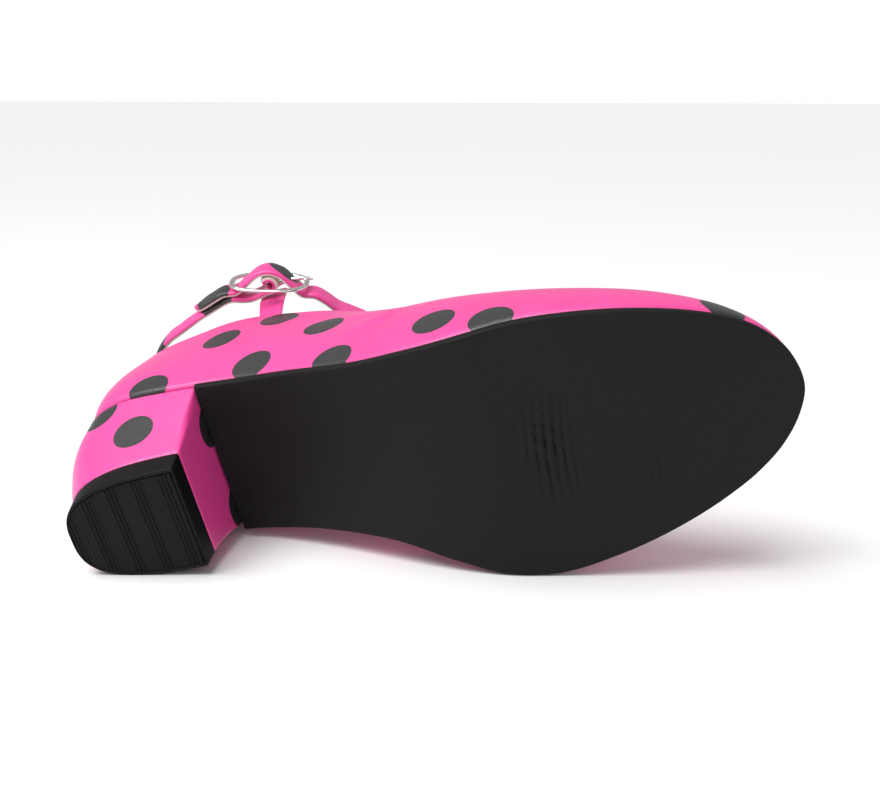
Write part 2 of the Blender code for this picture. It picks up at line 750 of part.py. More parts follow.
def resting_side(points, centre):
    """The way down when the shoe lies at rest on its inner side: the outward normal of the face of
    its hull that has the centre of mass above it and looks most to the inner side.
    """
    bm = bmesh.new()
    for point in np.unique(points.round(6), axis=0):
        bm.verts.new(point)
    hull = bmesh.ops.convex_hull(bm, input=bm.verts)["geom"]
    middle = Vector(points.mean(axis=0))
    best = Vector((0.0, 0.0, 0.0))
    for face in (part for part in hull if isinstance(part, bmesh.types.BMFace)):
        a, b, c = (vert.co for vert in face.verts)
        down = (b - a).cross(c - a).normalized()
        if down.dot(a - middle) < 0:
            down.negate()
        foot = Vector(centre) + down * down.dot(a - Vector(centre))
        turns = [(q - p).cross(foot - p).dot(down) for p, q in ((a, b), (b, c), (c, a))]
        if (min(turns) >= 0 or max(turns) <= 0) and down.y > best.y:
            best = down.copy()
    bm.free()
    return best


def lay_down(lying, pieces):
    """Turns the shoe onto its inner side, its length along x, its box's foot at the origin."""
    measures = [measure(obj) for obj in pieces]
    weights = np.array([volume * DENSITY[obj.name] for (volume, _, _), obj in zip(measures, pieces)])
    centres = np.array([centre for _, centre, _ in measures])
    points = np.concatenate([corners for _, _, corners in measures])
    centre = (weights[:, None] * centres).sum(axis=0) / weights.sum()
    up = -resting_side(points, centre)
    ahead = (Vector((1.0, 0.0, 0.0)) - up * up.x).normalized()
    turn = Matrix((ahead, up.cross(ahead), up))
    placed = points @ np.array(turn).T
    low, high = placed.min(axis=0), placed.max(axis=0)
    shift = Vector((-(low[0] + high[0]) / 2, -(low[1] + high[1]) / 2, -low[2]))
    lying.matrix_world = Matrix.Translation(shift) @ turn.to_4x4()


def make_materials():
    made = {}
    for name, (colour, roughness, metallic) in COLOURS.items():
        material = bpy.data.materials.new(name)
        material.use_nodes = True
        shader = material.node_tree.nodes["Principled BSDF"]
        shader.inputs["Base Color"].default_value = colour
        shader.inputs["Roughness"].default_value = roughness
        shader.inputs["Metallic"].default_value = metallic
        made[name] = material
    return made


def main():
    for obj in list(bpy.data.objects):
        bpy.data.objects.remove(obj)
    scene = bpy.context.scene.collection
    collection = bpy.data.collections.new("flamenco_shoe")
    cutters = bpy.data.collections.new("cutters")
    scene.children.link(collection)
    scene.children.link(cutters)
    lying = bpy.data.objects.new("lying", None)
    collection.objects.link(lying)
    finish = make_materials()
    pink, rubber = finish["hot pink"], finish["black rubber"]
    cream, metal = finish["cream lining"], finish["bright metal"]
    pieces = [
        make_outsole(rubber, collection, lying),
        make_insole(cream, collection, lying),
        make_heel_lift(rubber, collection, lying),
        make_heel(pink, collection, lying),
        make_upper(pink, collection, lying),
        make_strap(pink, collection, cutters, lying),
        make_strap_tab(pink, collection, lying),
        make_strap_loop(pink, collection, lying),
        make_buckle_frame(metal, collection, cutters, lying),
        make_buckle_prong(metal, collection, lying),
    ]
    lay_down(lying, pieces)


main()
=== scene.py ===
"""Flamenco shoe: a child's right shoe in hot pink leather cloth with black dots, on a covered block
heel, lying on its inner side on a pale floor.

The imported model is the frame. Each piece here takes the place of one of its nodes. The shapes are
worked out for the standing shoe: x from the back of the heel to the toe, y to the inner side, z up
from the ground, in metres. place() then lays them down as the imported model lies.
"""

import json

import bpy
import numpy as np
from mathutils import Matrix


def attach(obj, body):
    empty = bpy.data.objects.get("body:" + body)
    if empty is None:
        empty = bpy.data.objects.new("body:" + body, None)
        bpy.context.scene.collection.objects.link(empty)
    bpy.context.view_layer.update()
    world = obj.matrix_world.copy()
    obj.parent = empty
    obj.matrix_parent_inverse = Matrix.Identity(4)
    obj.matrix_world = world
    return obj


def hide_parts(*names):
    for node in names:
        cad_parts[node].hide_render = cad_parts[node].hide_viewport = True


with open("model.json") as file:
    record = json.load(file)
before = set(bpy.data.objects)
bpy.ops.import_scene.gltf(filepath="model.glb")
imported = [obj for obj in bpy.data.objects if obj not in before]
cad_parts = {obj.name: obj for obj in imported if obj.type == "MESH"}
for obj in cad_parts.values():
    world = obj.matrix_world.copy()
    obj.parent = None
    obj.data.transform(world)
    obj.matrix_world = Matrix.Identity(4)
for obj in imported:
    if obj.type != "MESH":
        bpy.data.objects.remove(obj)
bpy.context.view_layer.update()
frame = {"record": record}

bl_info = {
    "name": "Flamenco Shoe",
    "version": (1, 0, 0),
    "blender": (4, 5, 0),
    "location": "View3D > Sidebar > Flamenco Shoe",
    "description": "Makes a dotted flamenco shoe from its leather cloth, rubber and wire",
    "category": "Add Mesh",
}

MM = 0.001

# The standing shoe, as its solids have it
SHOE_LENGTH = 0.205
BALL_WIDTH = 0.0787
HEEL_HEIGHT = 0.030
TOE_SPRING = 0.0068
OUTSOLE_THICKNESS = 0.0028
INSOLE_THICKNESS = 0.0020
SEAT_LENGTH = 0.0381
SEAT_HALF_WIDTH = 0.0250
SEAT_SLOPE = 0.12
FLAT_START = 0.122
FLAT_END = 0.138
LIFT_THICKNESS = 0.0075
LIFT_LENGTH = 0.0349
LIFT_HALF_WIDTH = 0.0163
LIFT_FLARE = 0.0006
COLLAR_HEIGHT = 0.079
WALL = 0.0016
FEATHER_INSET = 0.0005
WALL_BULGE = 0.0030
STRAP_WIDTH = 0.008
STRAP_THICKNESS = 0.0020
STRAP_ABOVE_COLLAR = 0.0115
STRAP_RISE = 0.05
TAB_WIDTH = 0.0085
TAB_THICKNESS = 0.0012
TAB_SEAM = 0.009
TAB_BEHIND_BAR = 0.0049
LOOP_EASE = 0.0009
BUCKLE_LENGTH = 0.0260
BUCKLE_HEIGHT = 0.0165
BUCKLE_WIRE = 0.0018
BAR_WIRE = 0.0015
PRONG_WIRE = 0.0014
GAP = 0.0003
SEAT_ROUNDNESS = 3.8
LIFT_ROUNDNESS = 2.9
HEEL_SWELL = 0.0036
BUCKLE_ALONG = 0.267
BUCKLE_ASIDE = -0.372
BUCKLE_TURN = 15.0
FRAME_ROUNDNESS = 2.6
TOE_TIP = 0.032

# The sole's outline: along as a share of the length, each side as a share of the ball's width
OUTLINE = (
    (0.235, 0.3220, 0.3210),
    (0.337, 0.3240, 0.3540),
    (0.424, 0.3480, 0.3860),
    (0.504, 0.4257, 0.4295),
    (0.582, 0.5030, 0.4625),
    (0.637, 0.5260, 0.4740),
    (0.722, 0.4980, 0.4600),
    (0.810, 0.4360, 0.4140),
    (0.878, 0.3650, 0.3530),
    (0.927, 0.2950, 0.2880),
    (0.963, 0.2170, 0.2080),
    (0.989, 0.1200, 0.1060),
)

# The upper's sections: edge, along, medial, lateral, up, rise, bulge, reach, drop, belly, inner
UPPER_SECTIONS = (
    (0.000, 0.022, 0.000, 0.000, 1.000, 0.36, 1.0, 0.30, 0.34, 0.7, 0.0),
    (0.105, 0.045, 0.200, 0.195, 0.985, 0.36, 1.0, 0.25, 0.34, 0.7, 0.4),
    (0.235, 0.175, 0.290, 0.295, 0.965, 0.34, 1.0, 0.10, 0.34, 0.8, 1.0),
    (0.430, 0.330, 0.312, 0.312, 0.890, 0.36, 1.0, 0.12, 0.32, 0.8, 1.0),
    (0.560, 0.420, 0.316, 0.312, 0.770, 0.38, 1.0, 0.22, 0.26, 0.7, 0.4),
    (0.660, 0.480, 0.298, 0.290, 0.695, 0.40, 1.0, 0.34, 0.18, 0.8, 0.0),
    (0.790, 0.532, 0.236, 0.226, 0.655, 0.45, 1.0, 0.42, 0.22, 0.7, 0.0),
    (0.915, 0.564, 0.132, 0.130, 0.635, 0.48, 0.8, 0.46, 0.30, 0.4, 0.0),
    (1.000, 0.577, 0.000, 0.000, 0.628, 0.50, 0.6, 0.48, 0.33, 0.2, 0.0),
)

# The heel's sections: height, size, swell
HEEL_SECTIONS = (
    (0.00, 0.00, 0.0),
    (0.25, 0.25, 0.6),
    (0.50, 0.50, 1.0),
    (0.75, 0.75, 0.9),
    (1.00, 1.00, 0.2),
)

# The strap's way around the ankle from above: shares of the length and of the ball's width
STRAP_ROUTE = (
    (0.172, -0.330),
    (0.118, -0.277),
    (0.072, -0.215),
    (0.042, -0.105),
    (0.038, 0.060),
    (0.066, 0.215),
    (0.128, 0.300),
    (0.210, 0.322),
    (0.300, 0.295),
    (0.380, 0.205),
    (0.425, 0.090),
    (0.424, -0.030),
    (0.398, -0.125),
    (0.364, -0.196),
)

# Centres of the dots that the outer side shows: on the upper by their share of the way round it
# and their height, on the heel and the strap by their place in millimetres
UPPER_DOTS = (
    (1.835, 0.050),
    (1.740, 0.630),
    (1.695, 0.130),
    (1.585, 0.050),
    (1.6275, 0.870),
    (1.565, 0.540),
    (1.4475, 0.190),
    (1.3925, 0.050),
    (1.1325, 0.080),
)
HEEL_DOTS = ((20.4, -19.7, 20.4), (7.6, -19.8, 34.8), (37.8, -11.0, 31.6), (37.8, 17.3, 32.0))
STRAP_DOTS = ((36.1, -28.4, 88.5), (61.5, -32.0, 94.0))

# The strap's hump over the bar, the way off the eye, the prong and the outer tab's bend, as the
# solids have them
HUMP_LEAVES = (1.12, 0.86)
HUMP_CROSSES = (0.56, 0.10)
HUMP_TURNS = (0.26, 0.80)
EYE_LEAVES = (0.42, 0.92)
PRONG_ROUTE = ((0.35, 0.20), (0.75, 1.00), (1.10, 1.00))
TAB_BEND = (0.3, 0.4)

# The way to the eye that looks at the outer side, for the standing shoe
TO_EYE = np.array([0.107, -0.449, -0.887])

# Where that eye is, and its own level and upright directions, in the standing shoe's millimetres
EYE_PLACE = (145.1, -166.9, -289.9)
EYE_RIGHT = (0.974, 0.228, 0.002)
EYE_LENS = 51.06


def cubic(knots, values, at):
    """A curve through every row of values: cubic arcs, each row's slope that of its neighbours."""
    knots = np.asarray(knots, float)
    values = np.asarray(values, float)
    slopes = np.gradient(values, knots, axis=0)
    cell = np.clip(np.searchsorted(knots, at, side="right") - 1, 0, len(knots) - 2)
    span = knots[cell + 1] - knots[cell]
    t = (at - knots[cell]) / span
    if values.ndim > 1:
        t, span = t[:, None], span[:, None]
    start = (2 * t**3 - 3 * t**2 + 1) * values[cell] + (t**3 - 2 * t**2 + t) * span * slopes[cell]
    end = (3 * t**2 - 2 * t**3) * values[cell + 1] + (t**3 - t**2) * span * slopes[cell + 1]
    return start + end


def lengths_along(points):
    """How far along a line of points each one lies: the running sum of the steps between them."""
    steps = np.linalg.norm(np.diff(points, axis=0), axis=1)
    return np.concatenate([[0.0], np.cumsum(steps)])


def evenly(points, count):
    """The line as count points at even distances, each on the straight step between two points."""
    along = lengths_along(points)
    at = np.linspace(0.0, along[-1], count)
    return np.stack([np.interp(at, along, column) for column in points.T], axis=1)


def through(points, dense=24):
    """A smooth line through the points: the cubic curve over the distance along them."""
    along = lengths_along(points)
    at = np.interp(
        np.arange((len(points) - 1) * dense + 1) / dense, np.arange(len(points)), along
    )
    return cubic(along, points, at)


def unit(vectors):
    """Each vector divided by its length."""
    return vectors / np.maximum(np.linalg.norm(vectors, axis=-1, keepdims=True), 1e-12)


def smoothstep(low, high, value):
    """0 below low, 1 above high, and 3t² - 2t³ of the share t between them."""
    t = np.clip((value - low) / (high - low), 0.0, 1.0)
    return t * t * (3.0 - 2.0 * t)


def hill(value, width):
    """A soft bump: e to the power of minus the square of value over width."""
    return np.exp(-((value / width) ** 2))


def ripples(points, length, seed):
    """Uneven waves of about the given length over the points, between -1 and 1: a mean of sines
    of the place along a few fixed directions.
    """
    source = np.random.default_rng(seed)
    ways = unit(source.normal(size=(7, 3)))
    steps = source.uniform(0.7, 1.5, 7) * 2 * np.pi / length
    starts = source.uniform(0.0, 2 * np.pi, 7)
    return np.sin(points @ (ways * steps[:, None]).T + starts).mean(axis=-1) * 1.9


def sole_height(x):
    """Height of the outsole's underside: the heel seat, the shank's curve, the flat, the spring."""
    x = np.asarray(x, float)
    seat = HEEL_HEIGHT + SEAT_SLOPE * (SEAT_LENGTH - x)
    shank = FLAT_START - SEAT_LENGTH
    t = np.clip((x - SEAT_LENGTH) / shank, 0.0, 1.0)
    fall = (2 * t**3 - 3 * t**2 + 1) * HEEL_HEIGHT - (t**3 - 2 * t**2 + t) * shank * SEAT_SLOPE
    spring = TOE_SPRING * (np.clip(x - FLAT_END, 0.0, None) / (SHOE_LENGTH - FLAT_END)) ** 2
    return np.where(x < SEAT_LENGTH, seat, fall + spring)


def seat_height(x):
    """Height of the outsole's and the heel's upper face: the underside's, one thickness up."""
    step = 1e-4
    slope = (sole_height(x + step) - sole_height(x - step)) / (2 * step)
    return sole_height(x) + OUTSOLE_THICKNESS * np.hypot(1.0, slope)


def heel_arc(length, half_width, roundness, count):
    """One side of a heel from above, from its back to its front corner: a superellipse's quarter."""
    angle = np.linspace(0.0, np.pi / 2, count)
    x = length * (1.0 - np.cos(angle) ** (2.0 / roundness))
    y = half_width * np.sin(angle) ** (2.0 / roundness)
    return evenly(np.stack([x, y], axis=1), count)


def outline():
    """The sole's closed outline: the cubic line through the heel's arc and the outline's rows."""
    sides = []
    for column, sign in ((1, 1.0), (2, -1.0)):
        arc = heel_arc(SEAT_LENGTH, SEAT_HALF_WIDTH, SEAT_ROUNDNESS, 240)[::20]
        rows = [(row[0] * SHOE_LENGTH, row[column] * BALL_WIDTH) for row in OUTLINE]
        sides.append(np.concatenate([arc, rows]) * np.array([1.0, sign]))
    tip = np.array([[SHOE_LENGTH, TOE_TIP * BALL_WIDTH]])
    ring = np.concatenate([sides[0], tip, sides[1][:0:-1]])
    wrapped = np.concatenate([ring[-3:], ring, ring[:4]])
    return through(wrapped)[3 * 24 : (3 + len(ring)) * 24 + 1]


def inset_sides(inset, count, start=None):
    """Both sides of the outline moved inwards, square to it, as count even points to the toe."""
    ring = outline()
    ahead = unit(np.gradient(ring, axis=0))
    inner = ring + inset * np.stack([ahead[:, 1], -ahead[:, 0]], axis=1)
    tip = int(np.argmax(inner[:, 0]))
    sides = []
    for side in (inner[: tip + 1], inner[tip:][::-1]):
        if start is not None:
            first = np.interp(start, side[:, 0], side[:, 1])
            side = np.concatenate([[[start, first]], side[side[:, 0] > start]])
        sides.append(evenly(side, count))
    return sides


def raised(plan, height):
    """The points of a plan lifted to a height that is a number or a function of x."""
    level = height(plan[..., 0]) if callable(height) else np.full(plan.shape[:-1], height)
    return np.concatenate([plan, level[..., None]], axis=-1)


def lying_turn():
    """The turn and the place of the lying shoe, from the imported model's two ground faces: up is
    against their axis, ahead is from the heel's to the forefoot's, less its small step aside.
    """
    mounts = {mount["name"]: mount for mount in frame["record"]["mounts"]}
    heel = np.array(mounts["ground_face_heel"]["pos_m"])
    ball = np.array(mounts["ground_face_forefoot"]["pos_m"])
    up = -unit(np.array(mounts["ground_face_heel"]["axis"]))
    toward = unit(ball - heel - up * ((ball - heel) @ up))
    step = np.arctan2(0.002, 0.1128)
    ahead = toward * np.cos(step) - np.cross(up, toward) * np.sin(step)
    turn = np.stack([ahead, np.cross(up, ahead), up], axis=1)
    return turn, heel - turn @ np.array([0.0172, 0.0, 0.0])


TURN, PLACE = lying_turn()


def place(points):
    """The standing shoe's points, laid down: turned, then moved."""
    return np.asarray(points) @ TURN.T + PLACE


def normals(grid, wrap_rows, wrap_columns):
    """The direction square to a grid of points: the cross product of its two ways along it."""

    def along(axis, wrapped):
        if wrapped:
            return np.roll(grid, -1, axis=axis) - np.roll(grid, 1, axis=axis)
        return np.gradient(grid, axis=axis)

    return unit(np.cross(along(1, wrap_columns), along(0, wrap_rows)))


def spotted(points, centres, radius):
    """How far outside the nearest dot each point lies, in millimetres: its distance from the
    nearest centre less the dot's radius.
    """
    nearest = np.full(points.shape[:-1], 1e9)
    for centre in centres:
        nearest = np.minimum(nearest, np.linalg.norm(points - centre, axis=-1))
    return (nearest - radius) / MM


def dots_beyond(points, facing, seen, apart, margin):
    """Centres for the rest of the dots. Each is the point farthest from all dots so far, while
    that is more than apart, and none is nearer than margin to the side that shows the seen ones.
    """
    shown = points[facing > 0.0][::5]
    hidden = points[facing < -0.1][::3]
    clear = np.full(len(hidden), 1e9)
    for part in np.array_split(shown, max(1, len(shown) // 40)):
        clear = np.minimum(clear, np.linalg.norm(hidden[:, None] - part[None], axis=2).min(axis=1))
    hidden = hidden[clear > margin]
    added = []
    distance = np.linalg.norm(hidden[:, None] - np.asarray(seen)[None], axis=2).min(axis=1)
    while len(distance) and distance.max() > apart:
        pick = hidden[int(distance.argmax())]
        added.append(pick)
        distance = np.minimum(distance, np.linalg.norm(hidden - pick, axis=1))
    return np.array(added).reshape(-1, 3)


def skin(name, grid, wrap_rows=False, wrap_columns=False, finishes=(), bands=None, **fields):
    """A mesh object over a grid of points, each four neighbours one face, laid down and set to ride
    on the shoe. bands gives each cell's finish, and each field a number for each point.
    """
    count, width = grid.shape[:2]
    index = np.arange(count * width).reshape(count, width)
    if wrap_rows:
        index = np.concatenate([index, index[:1]])
    if wrap_columns:
        index = np.concatenate([index, index[:, :1]], axis=1)
    quads = np.stack([index[:-1, :-1], index[1:, :-1], index[1:, 1:], index[:-1, 1:]], axis=-1)
    mesh = bpy.data.meshes.new(name)
    mesh.from_pydata(place(grid).reshape(-1, 3), [], quads.reshape(-1, 4))
    for finish in finishes:
        mesh.materials.append(finish)
    if bands is not None:
        slots = np.broadcast_to(bands, quads.shape[:2]).astype(np.int32)
        mesh.polygons.foreach_set("material_index", slots.ravel().copy())
    for field, values in fields.items():
        layer = mesh.attributes.new(field, "FLOAT", "POINT")
        layer.data.foreach_set("value", np.ascontiguousarray(values, np.float32).ravel())
    mesh.validate()
    obj = bpy.data.objects.new(name, mesh)
    bpy.context.scene.collection.objects.link(obj)
    close_up(mesh)
    mesh.shade_smooth()
    mesh.set_sharp_from_angle(angle=np.radians(48.0))
    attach(obj, "root")
    return obj


def close_up(mesh):
    """Merges points that coincide, as at a pole, and turns all faces outwards."""
    import bmesh

    bm = bmesh.new()
    bm.from_mesh(mesh)
    bmesh.ops.remove_doubles(bm, verts=bm.verts, dist=1e-7)
    bmesh.ops.recalc_face_normals(bm, faces=bm.faces)
    bm.to_mesh(mesh)
    bm.free()


def capped(grid):
    """The grid with its first and last rows drawn in to their middles, which closes both ends."""
    ends = [
        np.broadcast_to(row.mean(axis=0), row.shape) * share + row * (1.0 - share)
        for row in (grid[0], grid[-1])
        for share in (1.0,)
    ]
    return np.concatenate([ends[0][None], grid, ends[1][None]])


def carried(path, side, profile):
    """A profile carried along a path: at each point, the path plus a along the side direction plus
    b square to it and the path, for each pair (a, b) of the profile.
    """
    ahead = unit(np.gradient(path, axis=0))
    side = np.broadcast_to(side, path.shape)
    side = unit(side - ahead * np.sum(side * ahead, axis=1, keepdims=True))
    other = np.cross(ahead, side)
    profile = np.broadcast_to(profile, (len(path),) + profile.shape[-2:])
    return (
        path[:, None]
        + side[:, None] * profile[..., :1]
        + other[:, None] * profile[..., 1:]
    )


def round_profile(width, height, count=14, squareness=2.0):
    """A closed oval: a superellipse of the given width and height."""
    angle = np.linspace(0.0, 2 * np.pi, count, endpoint=False)
    power = 2.0 / squareness
    a = np.sign(np.cos(angle)) * np.abs(np.cos(angle)) ** power * width / 2
    b = np.sign(np.sin(angle)) * np.abs(np.sin(angle)) ** power * height / 2
    return np.stack([a, b], axis=1)


# The finishes


def finish(name, colour, roughness, **sockets):
    """A material with its plain values on the shader's own sockets."""
    material = bpy.data.materials.new(name)
    material.use_nodes = True
    shader = material.node_tree.nodes["Principled BSDF"]
    shader.inputs["Base Color"].default_value = (*colour[:3], 1.0)
    shader.inputs["Roughness"].default_value = roughness
    for socket, value in sockets.items():
        shader.inputs[socket.replace("_", " ")].default_value = value
    return material, material.node_tree, shader


def texture(tree, kind, scale, **settings):
    """A texture node on Object coordinates, at a scale for each metre."""
    place_of = tree.nodes.get("Place") or tree.nodes.new("ShaderNodeTexCoord")
    place_of.name = "Place"
    made = tree.nodes.new(kind)
    made.inputs["Scale"].default_value = scale
    for name, value in settings.items():
        if name in made.inputs:
            made.inputs[name].default_value = value
        else:
            setattr(made, name, value)
    tree.links.new(place_of.outputs["Object"], made.inputs["Vector"])
    return made


def ranged(tree, source, low, high, to_low, to_high, smooth=False):
    """A Map Range node from low and high to the two new values."""
    made = tree.nodes.new("ShaderNodeMapRange")
    if smooth:
        made.interpolation_type = "SMOOTHSTEP"
    for socket, value in zip(made.inputs[1:5], (low, high, to_low, to_high)):
        socket.default_value = value
    tree.links.new(source, made.inputs[0])
    return made.outputs[0]


def blended(tree, share, first, second):
    """A colour Mix node; each side is a colour or another node's output."""
    made = tree.nodes.new("ShaderNodeMix")
    made.data_type = "RGBA"
    tree.links.new(share, made.inputs[0])
    for socket, value in ((made.inputs[6], first), (made.inputs[7], second)):
        if isinstance(value, bpy.types.NodeSocket):
            tree.links.new(value, socket)
        else:
            socket.default_value = (*value[:3], 1.0)
    return made.outputs[2]


def summed(tree, *parts):
    """Sockets added together, each times its number."""
    total = None
    for source, weight in parts:
        made = tree.nodes.new("ShaderNodeMath")
        made.operation = "MULTIPLY_ADD"
        made.inputs[1].default_value = weight
        tree.links.new(source, made.inputs[0])
        if total is None:
            made.inputs[2].default_value = 0.0
        else:
            tree.links.new(total, made.inputs[2])
        total = made.outputs[0]
    return total


def relief(tree, shader, height, depth, coat=False):
    """A Bump node of the given depth in metres, for the shader and where asked for its coat."""
    bump = tree.nodes.new("ShaderNodeBump")
    bump.inputs["Strength"].default_value = 1.0
    bump.inputs["Distance"].default_value = depth
    tree.links.new(height, bump.inputs["Height"])
    tree.links.new(bump.outputs[0], shader.inputs["Normal"])
    if coat:
        tree.links.new(bump.outputs[0], shader.inputs["Coat Normal"])


def dotted_leather(name, look, grain=1.0, painted_light_factor=1.0):
    """Leather cloth with a fine pebbled grain: pink, with black dots where the dots field is below
    zero, a slow drift of its colour, and a thin clear coat.
    """
    # painted_light_factor scales the pink: above 1 it makes a lighter copy of the same leather, which
    # is painted light
    pink = np.array(look.pink[:3]) * painted_light_factor
    material, tree, shader = finish(
        name, pink, look.leather_roughness, Coat_Weight=look.leather_coat, Coat_Roughness=0.22
    )
    drift = texture(tree, "ShaderNodeTexNoise", 45.0, Detail=3.0)
    cells = texture(tree, "ShaderNodeTexVoronoi", 2300.0 / grain, feature="DISTANCE_TO_EDGE")
    pores = texture(tree, "ShaderNodeTexNoise", 1400.0 / grain, Detail=2.0)
    field = tree.nodes.new("ShaderNodeAttribute")
    field.attribute_name = "dots"
    wobble = texture(tree, "ShaderNodeTexNoise", 900.0, Detail=2.0)
    edge = summed(tree, (field.outputs["Fac"], 1.0), (wobble.outputs["Fac"], 0.14))
    inside = ranged(tree, edge, 0.0, 0.15, 1.0, 0.0, smooth=True)
    drifted = blended(
        tree, ranged(tree, drift.outputs["Fac"], 0.35, 0.65, 0.0, 1.0), pink * 0.95, pink * 1.04
    )
    colour = blended(tree, inside, drifted, look.dot_black)
    tree.links.new(colour, shader.inputs["Base Color"])
    rough = ranged(
        tree,
        pores.outputs["Fac"],
        0.3,
        0.7,
        look.leather_roughness - 0.06,
        look.leather_roughness + 0.08,
    )
    tree.links.new(rough, shader.inputs["Roughness"])
    pebbles = ranged(tree, cells.outputs["Distance"], 0.0, 0.28, 0.0, 1.0, smooth=True)
    height = summed(tree, (pebbles, 0.6), (pores.outputs["Fac"], 0.5))
    relief(tree, shader, height, look.leather_grain, coat=True)
    return material


def moulded_rubber(name, look, colour, roughness):
    """Matt moulded rubber: fine mould grain, faint smears and a dust of paler specks."""
    material, tree, shader = finish(name, colour, roughness)
    shader.inputs["Specular IOR Level"].default_value = look.rubber_gloss
    smears = texture(tree, "ShaderNodeTexNoise", 38.0, Detail=4.0)
    specks = texture(tree, "ShaderNodeTexNoise", 1700.0, Detail=2.0)
    grit = texture(tree, "ShaderNodeTexNoise", 3600.0, Detail=2.0)
    tint = np.array(colour[:3])
    base = blended(
        tree, ranged(tree, smears.outputs["Fac"], 0.3, 0.7, 0.0, 1.0), tint * 0.8, tint * 1.25
    )
    dusty = blended(
        tree, ranged(tree, specks.outputs["Fac"], 0.66, 0.78, 0.0, 0.6), base, tint * 3.2
    )
    tree.links.new(dusty, shader.inputs["Base Color"])
    rough = ranged(
        tree, smears.outputs["Fac"], 0.3, 0.7, roughness - 0.06, roughness + 0.07
    )
    tree.links.new(rough, shader.inputs["Roughness"])
    height = summed(tree, (grit.outputs["Fac"], 0.5), (specks.outputs["Fac"], 0.8))
    relief(tree, shader, height, look.rubber_grain)
    return material


def lining_cloth(name, colour):
    """Pale backing cloth: crossed fine threads in relief and a soft sheen."""
    material, tree, shader = finish(name, colour, 0.85, Sheen_Weight=0.3, Sheen_Roughness=0.4)
    fleck = texture(tree, "ShaderNodeTexNoise", 2500.0, Detail=3.0)
    cloud = texture(tree, "ShaderNodeTexNoise", 60.0, Detail=2.0)
    tint = np.array(colour[:3])
    base = blended(
        tree, ranged(tree, cloud.outputs["Fac"], 0.3, 0.7, 0.0, 1.0), tint * 0.93, tint * 1.03
    )
    tree.links.new(base, shader.inputs["Base Color"])
    threads = texture(
        tree, "ShaderNodeTexWave", 900.0, wave_type="BANDS", bands_direction="DIAGONAL"
    )
    threads.inputs["Distortion"].default_value = 1.5
    height = summed(tree, (threads.outputs["Fac"], 0.5), (fleck.outputs["Fac"], 0.8))
    relief(tree, shader, height, 0.00006)
    return material


def bright_wire(name, colour):
    """Nickelled wire: clear reflections, fine drawing marks and small dull patches."""
    material, tree, shader = finish(name, colour, 0.14, Metallic=1.0)
    marks = texture(tree, "ShaderNodeTexNoise", 900.0, Detail=4.0)
    dull = texture(tree, "ShaderNodeTexNoise", 260.0, Detail=3.0)
    rough = ranged(tree, dull.outputs["Fac"], 0.4, 0.75, 0.09, 0.30)
    tree.links.new(rough, shader.inputs["Roughness"])
    relief(tree, shader, marks.outputs["Fac"], 0.00003)
    return material


def made_finishes(look):
    """All finishes of the shoe, made once and then found by name."""
    if "dotted leather" in bpy.data.materials:
        return {name: bpy.data.materials[name] for name in bpy.data.materials.keys()}
    dotted_leather("dotted leather", look)
    # The heel's copy of the leather is painted 4% lighter: painted light on the heel
    dotted_leather("heel leather", look, painted_light_factor=1.04)
    dotted_leather("strap leather", look, grain=0.9)
    moulded_rubber("sole rubber", look, look.rubber, 0.60)
    moulded_rubber("lift rubber", look, look.lift_rubber, 0.55)
    lining_cloth("cream lining", look.lining)
    lining_cloth("sock cloth", look.sock)
    lining_cloth("cut edge", look.thread)
    lining_cloth("sewing thread", look.pink_thread)
    bright_wire("bright nickel", look.nickel)
    return {name: bpy.data.materials[name] for name in bpy.data.materials.keys()}


# The upper


def upper_sheet(half, rows):
    """The upper's outer side as a grid: 2 × half columns round the shoe from the back over the
    inner side, and rows from the sole's edge to the topline. Each column is a cubic Bezier curve
    from the edge to the topline whose two middle points come from the sections.
    """
    table = np.array(UPPER_SECTIONS)
    edge, inner = table[:, 0], table[:, 10]
    medial = np.delete(table, (0, 3, 10), axis=1)
    lateral = np.delete(table, (0, 2, 10), axis=1)
    medial[:, 4] += inner
    medial[:, 7] += inner
    lateral[:, 1] *= -1.0
    knots = np.concatenate([edge, 2.0 - edge[-2::-1]])
    table = np.concatenate([medial, lateral[-2::-1]])
    knots = np.concatenate([knots[-4:-1] - 2.0, knots, knots[1:4] + 2.0])
    table = np.concatenate([table[-4:-1], table, table[1:4]])
    shares = np.arange(2 * half) / half
    along, aside, up, rise, bulge, reach, drop, belly = cubic(knots, table, shares).T
    sides = inset_sides(FEATHER_INSET, half + 1)
    plan = np.concatenate([sides[0], sides[1][-2:0:-1]])
    foot = raised(plan, lambda x: seat_height(x) + GAP)
    top = np.stack([along * SHOE_LENGTH, aside * BALL_WIDTH, up * COLLAR_HEIGHT], axis=1)
    ahead = np.roll(plan, -1, axis=0) - np.roll(plan, 1, axis=0)
    out = unit(np.stack([-ahead[:, 1], ahead[:, 0], np.zeros(len(plan))], axis=1))
    height = top[:, 2] - foot[:, 2]
    rising = foot + out * (WALL_BULGE * bulge)[:, None]
    rising[:, 2] += rise * height
    coming = top + (foot - top) * reach[:, None] + out * (WALL_BULGE * belly)[:, None]
    coming[:, 2] = top[:, 2] - drop * height
    t = np.linspace(0.0, 1.0, rows + 1)[None, :, None]
    return (
        (1 - t) ** 3 * foot[:, None]
        + 3 * t * (1 - t) ** 2 * rising[:, None]
        + 3 * t**2 * (1 - t) * coming[:, None]
        + t**3 * top[:, None]
    )


